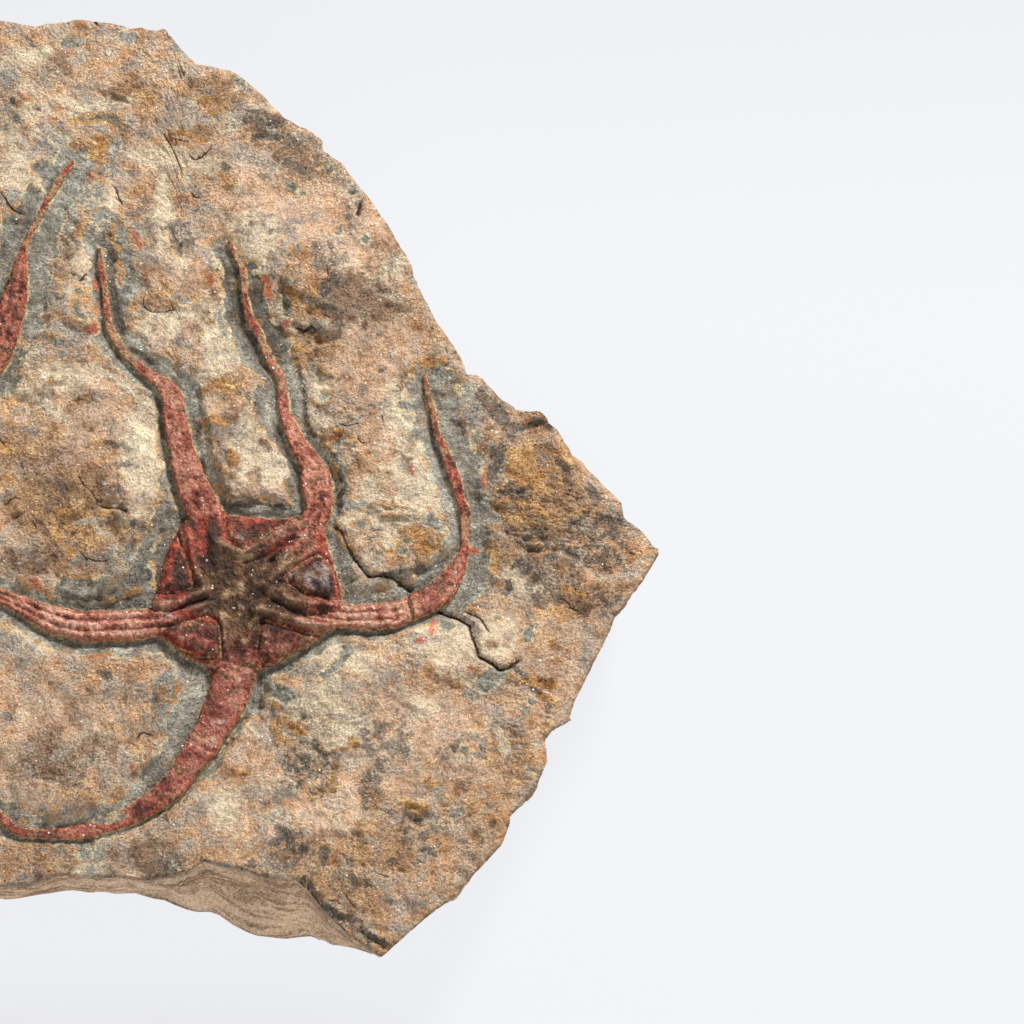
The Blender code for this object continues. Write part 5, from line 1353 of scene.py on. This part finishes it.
class Wire:
    """A shader socket that takes part in sums: each operator adds one Math node."""

    def __init__(self, tree, socket):
        self.tree, self.socket = tree, socket

    def node(self, kind, settings=None, inputs=None, output=0):
        """Any node: its type, its settings, then the values or links of its inputs by name or number."""
        made = self.tree.nodes.new(kind)
        for name, value in (settings or {}).items():
            setattr(made, name, value)
        for key, value in (inputs or {}).items():
            if isinstance(value, Wire):
                self.tree.links.new(value.socket, made.inputs[key])
            else:
                made.inputs[key].default_value = value
        return Wire(self.tree, made.outputs[output])

    def maths(self, operation, *values):
        """One Math node on the given values."""
        return self.node("ShaderNodeMath", {"operation": operation}, dict(enumerate(values)))

    def __add__(self, other):
        return self.maths("ADD", self, other)

    def __radd__(self, other):
        return self.maths("ADD", other, self)

    def __sub__(self, other):
        return self.maths("SUBTRACT", self, other)

    def __rsub__(self, other):
        return self.maths("SUBTRACT", other, self)

    def __mul__(self, other):
        return self.maths("MULTIPLY", self, other)

    def __rmul__(self, other):
        return self.maths("MULTIPLY", other, self)

    def between(self, low, high):
        """0 below low, 1 above high and an S between, or the other way round if low is the larger."""
        settings = {"interpolation_type": "SMOOTHSTEP"}
        return self.node("ShaderNodeMapRange", settings, {0: self, 1: low, 2: high, 3: 0.0, 4: 1.0})

    def blend(self, first, second):
        """The first colour where this is 0 and the second where it is 1."""
        settings = {"data_type": "RGBA", "clamp_factor": True}
        return self.node("ShaderNodeMix", settings, {0: self, 6: first, 7: second}, 2)

    def shade(self, low, high, dark, pale):
        """A dark tone below low that runs to a pale one above high."""
        return self.between(low, high).blend(colour(*dark), colour(*pale))

    def ramp(self, stops):
        """A colour that runs through several tones as this rises past their levels."""
        level, tone = stops[0][0], colour(*stops[0][1])
        for next_level, next_tone in stops[1:]:
            tone = self.between(level, next_level).blend(tone, colour(*next_tone))
            level = next_level
        return tone

    def covered(self, *layers):
        """This colour with others laid over it in turn, each by its mask, how much of it, and its colour."""
        base = self
        for mask, amount, tone in layers:
            base = (mask * amount).blend(base, tone)
        return base

    def scaled(self, amount):
        """A colour made brighter or darker by an amount."""
        return self.node("ShaderNodeVectorMath", {"operation": "SCALE"}, {0: self, 3: amount})


def colour(red, green, blue):
    """A colour from display values of 0 to 255."""
    values = [value / 255 for value in (red, green, blue)]
    linear = [v / 12.92 if v <= 0.04045 else ((v + 0.055) / 1.055) ** 2.4 for v in values]
    return (*linear, 1.0)


class Paint:
    """A new Principled material with its place in millimetres at hand, and helpers for noise and fields."""

    def __init__(self, name):
        self.material = bpy.data.materials.new(name)
        self.material.use_nodes = True
        tree = self.material.node_tree
        self.shader = tree.nodes["Principled BSDF"]
        self.start = Wire(tree, None)
        self.place = self.start.node("ShaderNodeTexCoord", output=3).scaled(1 / MM)

    def fields(self, *names):
        """The numbers that the mesh carries at every point, by their names."""
        found = []
        for name in names:
            settings = {"attribute_type": "GEOMETRY", "attribute_name": name}
            found.append(self.start.node("ShaderNodeAttribute", settings, output=2))
        return found

    def spot(self, seed, stretch=(1, 1, 1), turn=0.0):
        """The place in millimetres, moved so that no two textures share their pattern. A pattern laid on it
        comes out stretched along axes turned about the upright by so many radians."""
        shift = (seed * 13.7, seed * 7.9, seed * 3.1)
        inputs = {0: self.place, 1: shift, 2: (0, 0, turn), 3: stretch}
        return self.start.node("ShaderNodeMapping", {"vector_type": "TEXTURE"}, inputs)

    def noise(self, size, seed, detail, roughness, stretch=(1, 1, 1), turn=0.0):
        """Noise about 0, mostly from -1 to 1, whose blots are about size millimetres across."""
        inputs = {"Vector": self.spot(seed, stretch, turn), "Scale": 1 / size, "Detail": detail,
                  "Roughness": roughness}
        return (self.start.node("ShaderNodeTexNoise", {"normalize": True}, inputs) - 0.5) * NOISE_CONTRAST

    def grains(self, size, seed):
        """Grains packed side by side: a chance value from 0 to 1 for each, and how far its middle is."""
        inputs = {"Vector": self.spot(seed), "Scale": 1 / size}
        cells = {"feature": "F1", "voronoi_dimensions": "3D"}
        tint = self.start.node("ShaderNodeTexVoronoi", cells, inputs, 1)
        away = Wire(tint.tree, tint.socket.node.outputs[0])
        chance = self.start.node("ShaderNodeSeparateColor", {}, {0: tint})
        return chance, away

    def set(self, **values):
        """Sets the shader's own values by name, with _ for a space."""
        for name, value in values.items():
            self.shader.inputs[name.replace("_", " ")].default_value = value

    def finish(self, base, roughness, height):
        """Links colour, roughness and a bump whose height of 1 stands a millimetre proud."""
        links = self.material.node_tree.links
        links.new(base.socket, self.shader.inputs["Base Color"])
        links.new(roughness.socket, self.shader.inputs["Roughness"])
        bump = self.start.node("ShaderNodeBump", {}, {"Strength": 1.0, "Distance": MM, "Height": height})
        links.new(bump.socket, self.shader.inputs["Normal"])
        self.set(Specular_IOR_Level=0.3)
        return self.material


def stops(levels, *tones):
    """A ramp's stops: the tones at their levels."""
    return list(zip(levels, tones))


NOISE_CONTRAST = 15
# The levels of a noise at which the tones of the stone, the fossils and the stains are reached.
STONE_LEVELS = (-2.4, -1.2, 0.0, 1.1, 2.4)
FOSSIL_LEVELS = (-2.4, -1.0, 0.1, 1.0, 2.2)
STAIN_LEVELS = (-1.6, 0.0, 1.6)
WARM_STONE = stops(STONE_LEVELS, (104, 77, 55), (152, 117, 88), (190, 155, 122), (209, 177, 141),
                   (228, 208, 174))
COOL_STONE = stops(STONE_LEVELS, (92, 82, 71), (136, 121, 104), (174, 158, 136), (199, 184, 158),
                   (226, 216, 194))
DUG_STONE = stops(STONE_LEVELS, (50, 48, 44), (79, 76, 69), (112, 108, 98), (142, 138, 126), (182, 177, 160))
RED_ARM = stops(FOSSIL_LEVELS, (82, 42, 32), (130, 70, 54), (168, 99, 79), (194, 132, 108), (220, 176, 152))
RED_DISC = stops(FOSSIL_LEVELS, (50, 26, 20), (86, 44, 33), (122, 66, 49), (154, 96, 76), (196, 150, 130))
BROWN_DISC = stops(FOSSIL_LEVELS, (42, 29, 20), (70, 49, 33), (96, 69, 46), (118, 89, 61), (146, 117, 84))
WINE_PLATE = stops(FOSSIL_LEVELS, (46, 24, 20), (82, 40, 33), (122, 60, 50), (152, 86, 73), (194, 142, 128))
SLATE_PLATE = stops(FOSSIL_LEVELS, (50, 48, 49), (90, 84, 82), (122, 112, 106), (144, 129, 120),
                    (168, 151, 141))
STAIN_TONES = {
    "pink": stops(STAIN_LEVELS, (140, 110, 88), (180, 147, 119), (204, 174, 146)),
    "brown": stops(STAIN_LEVELS, (80, 59, 44), (132, 104, 82), (172, 142, 114)),
    "ochre": stops(STAIN_LEVELS, (102, 72, 47), (161, 124, 89), (208, 166, 118)),
    "gold": stops((-1.2, 0.0, 1.2), (128, 82, 44), (182, 132, 76), (222, 178, 118)),
    "cream": stops(STAIN_LEVELS, (160, 142, 117), (190, 172, 144), (214, 199, 170)),
    "grey": stops(STAIN_LEVELS, (80, 79, 74), (128, 124, 114), (166, 160, 146)),
    "dark": stops(STAIN_LEVELS, (50, 44, 38), (90, 80, 70), (130, 117, 102)),
    "red": stops(STAIN_LEVELS, (112, 46, 32), (168, 78, 52), (206, 126, 92)),
}

# How soft the edges of a stain's patches and streaks are, and how strongly its streaks show.
PATCH_EDGE = 0.4
STREAK_EDGE = 0.28
STREAK_SHOWS = 0.85


def siltstone():
    """Broken siltstone. Fractal noises shift it between a warm and a cool stone and between pale and dark.
    Over that lie the listed stains, each with its own run of tones and a frayed edge, some dark ones painted
    shadow, the grey of the dug ground with its fringe and painted shade in its trench, the split edge round
    the slab with its tones raised as painted light, the cracks darkened as painted shade, and flakes, pits
    and grains with painted shade, and painted glints."""
    paint = Paint("siltstone_finish")
    dug, dug_edge, side, tone, ground_darkening, lift = paint.fields("dug", "halo", "side", "tone", "ground_darkening", "lift")
    crumb, crack, beyond = paint.fields("crumb", "crack", "beyond")
    light = paint.noise(5.0, 1, 4, 0.60)
    warmth = paint.noise(4.4, 2, 4, 0.58)
    crag = paint.noise(2.3, 5, 3, 0.56)
    grit = paint.noise(0.75, 3, 3, 0.62, (1.15, 0.9, 1), turn=0.6)
    fleck = paint.noise(0.7, 6, 2, 0.6)
    layers = paint.noise(2.6, 10, 5, 0.7, (7, 7, 0.8))
    chance, away = paint.grains(0.28, 4)

    def stained(base, name, noise, amount):
        """Lays a listed stain over the stone: its wide patches broken up by a noise, its streaks crisp.
        Grey streaks are laid with the dug ground."""
        (patch,) = paint.fields(name)
        mask = (patch + noise * 0.36 + fleck * 0.12).between(-PATCH_EDGE, PATCH_EDGE) * amount
        if name != "grey":
            (streak,) = paint.fields(name + "_streak")
            streak = (streak + crag * 0.17 + fleck * 0.12).between(-STREAK_EDGE, STREAK_EDGE)
            mask = mask.maths("MAXIMUM", mask, streak * STREAK_SHOWS)
        return mask.blend(base, within.ramp(STAIN_TONES[name]))

    # The bare stone, with orange, mauve and steel-blue veins and rusty specks.
    value = light * 0.31 + crag * 0.23 + grit * 0.15 + tone * 0.12 + lift - 0.15
    warm = warmth * 0.75 + tone * 0.5 + fleck * (0.15 + crumb * 0.5)
    base = warm.between(-1.0, 0.3).blend(value.ramp(COOL_STONE), value.ramp(WARM_STONE))
    base = base.covered(
        (warm.between(0.6, 1.5), 0.6, value.shade(-1.4, 1.4, (140, 98, 60), (212, 162, 108))),
        ((crag * 0.6 - warm * 0.7).between(0.4, 1.0), 0.5,
         value.shade(-1.4, 1.4, (124, 104, 94), (196, 170, 152))),
        ((fleck * 0.8 + grit * 0.3 - warmth * 0.5).between(0.9, 1.5), 0.5, colour(118, 112, 104)),
        ((grit * 0.8 + warmth * 0.5).between(1.4, 2.0) * crumb, 0.6, colour(182, 112, 56)),
    )
    within = light * 0.33 + crag * 0.27 + grit * 0.14 + fleck * 0.08 + lift
    for name, noise, amount in (("pink", crag, 0.75), ("brown", warmth, 0.85), ("ochre", light, 0.88),
                                ("gold", crag, 0.75), ("cream", warmth, 0.88), ("grey", crag, 0.9)):
        base = stained(base, name, noise, amount)

    # The dug ground: a buff fringe, the grey with brown clouds, darker beside a fossil, partly darker ground
    # and partly painted shade in the trench there, and a pale hem there.
    buff = (warmth + crag * 0.3).shade(-0.3, 0.3, (196, 178, 142), (178, 132, 76))
    halo = (dug_edge + crag * 0.22 + fleck * 0.06).between(-0.2, 0.2)
    deep = (dug + crag * 0.3).between(2.2, 0.3)
    ground = light * 0.45 + crag * 0.33 + grit * 0.16 + tone * 0.4 - deep * 0.55 - ground_darkening + 0.85
    hem = (dug + grit * 0.08).between(0.5, 0.25) * crag.between(-0.8, 0.2)
    base = base.covered(
        ((dug_edge + 0.55 + crag * 0.16).between(-0.2, 0.12), 0.7, buff),
        (halo, 0.92, ground.ramp(DUG_STONE)),
        (halo * (warmth + crag * 0.4).between(1.1, 1.7), 0.4, colour(150, 118, 82)),
        (hem, 0.7, grit.shade(-1.5, 1.5, (166, 146, 106), (206, 192, 148))),
    )
    # The dark stains, partly painted shadow beside the arms and under the lower-left ledge, then the red
    # ones.
    base = stained(base, "dark", crag, 0.85)
    base = stained(base, "red", grit, 0.9)

    # The layered sides with their darker lip, their strata tones partly their own colour and partly painted
    # light that brightens them, and the cracks, darkened as painted shade.
    split = crack + grit * 0.12
    split = split.maths("ABSOLUTE", split).between(0.7, 0.3) * beyond.between(0.2, -0.6)
    base = base.covered(
        (side, 0.85, (layers + grit * 0.3).shade(-1.8, 1.4, (156, 125, 99), (236, 202, 167))),
        (side.between(0.0, 0.35) * side.between(1.0, 0.4), 0.35, colour(116, 91, 70)),
        (split, 0.9, colour(58, 38, 26)),
    )

    # Small flakes as terraces of the bump with painted shade at their feet, painted shade in pits, dark
    # specks, grains tinted at random and darker towards their edges as painted shade, and painted glints.
    treads = crag * 1.1 + grit * 0.1
    share = treads.maths("FRACT", treads)
    steps = treads - share + share.between(0.38, 0.62)
    foot = share.between(0.2, 0.38) * share.between(0.56, 0.42) * (light + crumb * 2.0).between(0.2, 1.8)
    pit_shade = grit.between(-1.3, -2.1) * crumb
    speck = chance.between(0.03, 0.02) * crag.between(-0.5, 0.5)
    glint = chance.between(0.9978, 0.9988)
    shade = (1.0 - foot * 0.35) * (1.0 - pit_shade * 0.4) * (1.0 - speck * 0.5)
    base = base.scaled(shade * (0.77 + chance * 0.54) * (1.05 - away * 0.10))
    height = steps * (0.06 + crumb * 0.26) + grit * (0.03 + crumb * 0.11) - away * 0.05 - split * 0.4
    return paint.finish(glint.blend(base, colour(245, 243, 236)), 0.85 - glint * 0.5, height)


def fossil(name, plain):
    """Iron-red fossil: granular and blotched, paler on its ridges and near black in its furrows, partly its
    own colour and partly painted highlight and painted shade, brown towards the disc's middle, wine red or
    slate blue on some plates, rusty near its edge with a buff hem, grains darker at their edges as painted
    shade, and painted glints."""
    paint = Paint(name)
    ridge, groove, edge, bare, lift = paint.fields("ridge", "groove", "edge", "bare", "lift")
    dusk, wine, slate, flush, pale, gloom = paint.fields("dusk", "wine", "slate", "flush", "bloom", "gloom")
    blots = paint.noise(2.6, 22, 5, 0.62)
    bloom = paint.noise(5.5, 24, 3, 0.6)
    grit = paint.noise(0.8, 21, 3, 0.66)
    chance, away = paint.grains(0.34, 23)
    # Paler on the ridges and darker in the furrows: partly the fossil's own colour, partly painted highlight
    # and painted shade.
    value = blots * 0.7 + bloom * 0.4 + grit * 0.32 + (ridge - 0.4) * 1.7 - groove * 0.4 + lift + 0.1
    flame = (bloom * 0.6 + blots * 0.6 + grit * 0.3).between(0.4, 1.5) * dusk.between(0.8, 0.3)
    rust = (edge + blots * 0.35 + 0.55).between(-0.2, 0.2) * dusk.between(1.2, 0.3)
    base = value.ramp(plain).covered(
        (bloom.between(0.4, 1.6), 0.4, (value + 0.5).ramp(plain)),
        (bloom.between(-0.5, -1.6), 0.5, (value - 0.6).ramp(plain)),
        ((bloom * 0.6 - blots * 0.7).between(0.3, 1.0), 0.6,
         (value * 0.6).shade(-1.4, 1.4, (78, 56, 42), (180, 138, 106))),
        (flame, 0.35, value.shade(-1.2, 1.6, (130, 46, 32), (206, 100, 72))),
        ((wine + blots * 0.25).between(0.5, 0.8), 0.8, value.ramp(WINE_PLATE)),
        ((dusk + blots * 0.15 - wine * 0.3).between(0.27, 0.7), 0.92, value.ramp(BROWN_DISC)),
        ((slate + blots * 0.25).between(0.4, 0.7), 0.9, value.ramp(SLATE_PLATE)),
        # Near-black and pale tints: partly the disc's own colour, partly painted shade in its grooves and
        # pits and painted highlight on its ridges.
        (gloom, 0.85, blots.shade(-1.4, 1.4, (44, 30, 25), (88, 62, 50))),
        (flush, 0.8, blots.shade(-1.4, 1.4, (120, 40, 30), (184, 86, 64))),
        (pale, 0.5, blots.shade(-1.4, 1.4, (128, 98, 70), (182, 150, 116))),
        (rust, 0.7, grit.shade(-1.2, 1.2, (136, 58, 38), (190, 100, 66))),
        ((edge + grit * 0.08 + 0.12).between(-0.08, 0.08), 0.65,
         grit.shade(-1.2, 1.2, (156, 128, 92), (198, 176, 132))),
        # Near black in the furrows and seams: partly the fossil's own colour, partly painted shade.
        (groove.between(0.45, 0.95), 0.4, colour(70, 42, 34)),
        ((bare + bloom * 0.3 + blots * 0.25).between(0.85, 1.15), 0.75,
         (blots + grit * 0.3).shade(-1.0, 1.0, (104, 90, 74), (172, 136, 96))),
    )
    # Painted glints, and grains darker towards their edges as painted shade.
    glint = chance.between(0.9965, 0.998)
    base = base.scaled((0.78 + chance * 0.46) * (1.04 - away * 0.12))
    height = blots * 0.12 + grit * 0.11 - away * 0.10
    return paint.finish(glint.blend(base, colour(232, 222, 214)), 0.8 - glint * 0.4, height)


# ---- Stage, light and camera ----

FLOOR_REACH = 6
FLOOR_GLOW = 0.86
# The lamps: where each stands, the point it faces, how wide it is, and its power.
KEY_LAMP = ((0.6, 1.15, 0.85), (0.03, 0, 0), 0.3, 48.5)
FILL_LAMP = ((0.3, -1.4, 0.9), (0, 0, 0), 1.2, 17.5)
SURROUND_COLOUR = (0.97, 0.98, 1.0, 1.0)
SURROUND_STRENGTH = 0.3
VIEW_AIM = Vector((0.08381, -0.00920, 0.026))
VIEW_ELEVATION = 72
VIEW_DISTANCE = 1.15
VIEW_LENS = 183.8
VIEW_SENSOR = 36


def add_object(name, data):
    """A new object in the scene."""
    made = bpy.data.objects.new(name, data)
    bpy.context.scene.collection.objects.link(made)
    return made


def add_floor():
    """A wide pale floor under the slab that glows as painted light, keeping the ground bright and the slab's
    shadow on it faint.
    """
    mesh = bpy.data.meshes.new("floor")
    corners = [(-1, -1), (1, -1), (1, 1), (-1, 1)]
    mesh.from_pydata([(x * FLOOR_REACH, y * FLOOR_REACH, 0) for x, y in corners], [], [(0, 1, 2, 3)])
    paint = Paint("pale_floor")
    across, up = (paint.start.node("ShaderNodeSeparateXYZ", {}, {0: paint.place}, axis) for axis in (0, 1))
    # The glow is dimmer far behind the slab and in a patch at lower left, which is painted shade.
    glow = up.shade(40, 150, (250, 251, 255), (242, 243, 246))
    glow = (up.between(-100, -140) * across.between(90, 20)).blend(glow, colour(238, 238, 240))
    paint.material.node_tree.links.new(glow.socket, paint.shader.inputs["Emission Color"])
    paint.set(Base_Color=colour(58, 59, 61), Roughness=0.9, Specular_IOR_Level=0.1)
    paint.set(Emission_Strength=FLOOR_GLOW)
    mesh.materials.append(paint.material)
    floor = add_object("floor", mesh)


def add_lamp(name, place, aim, size, power):
    """A square soft light that faces a point."""
    data = bpy.data.lights.new(name, "AREA")
    data.shape, data.size, data.energy = "SQUARE", size, power
    lamp = add_object(name, data)
    lamp.location = place
    lamp.rotation_euler = (Vector(aim) - Vector(place)).to_track_quat("-Z", "Y").to_euler()


def add_light_and_camera():
    """A key light from the slab's top edge and a little from its point, a fill, a pale surround, a camera."""
    add_lamp("key", *KEY_LAMP)
    add_lamp("fill", *FILL_LAMP)
    world = bpy.data.worlds.new("pale_studio")
    world.use_nodes = True
    background = world.node_tree.nodes["Background"]
    background.inputs["Color"].default_value = SURROUND_COLOUR
    background.inputs["Strength"].default_value = SURROUND_STRENGTH
    bpy.context.scene.world = world
    bpy.context.scene.view_settings.view_transform = "Standard"
    data = bpy.data.cameras.new("camera")
    data.lens, data.sensor_width = VIEW_LENS, VIEW_SENSOR
    tilt = math.radians(90 - VIEW_ELEVATION)
    forward = Vector((0, math.sin(tilt), -math.cos(tilt)))
    camera = add_object("camera", data)
    camera.location = VIEW_AIM - forward * VIEW_DISTANCE
    camera.rotation_euler = (tilt, 0, 0)
    bpy.context.scene.camera = camera


def build():
    """Every piece, the stage, the light and the camera."""
    add_light_and_camera()
    add_floor()
    build_slab(siltstone())
    arm_finish = fossil("red_fossil_finish", RED_ARM)
    disc_finish = fossil("dark_fossil_finish", RED_DISC)
    build_disc(STARS[0], DISC_RINGS, DISC_SPOKES, disc_finish)
    build_disc(STARS[1], SMALL_DISC_RINGS, SMALL_DISC_SPOKES, disc_finish)
    for star in STARS:
        for place, limb in star.arms.items():
            build_arm(star, place, limb, arm_finish)


build()
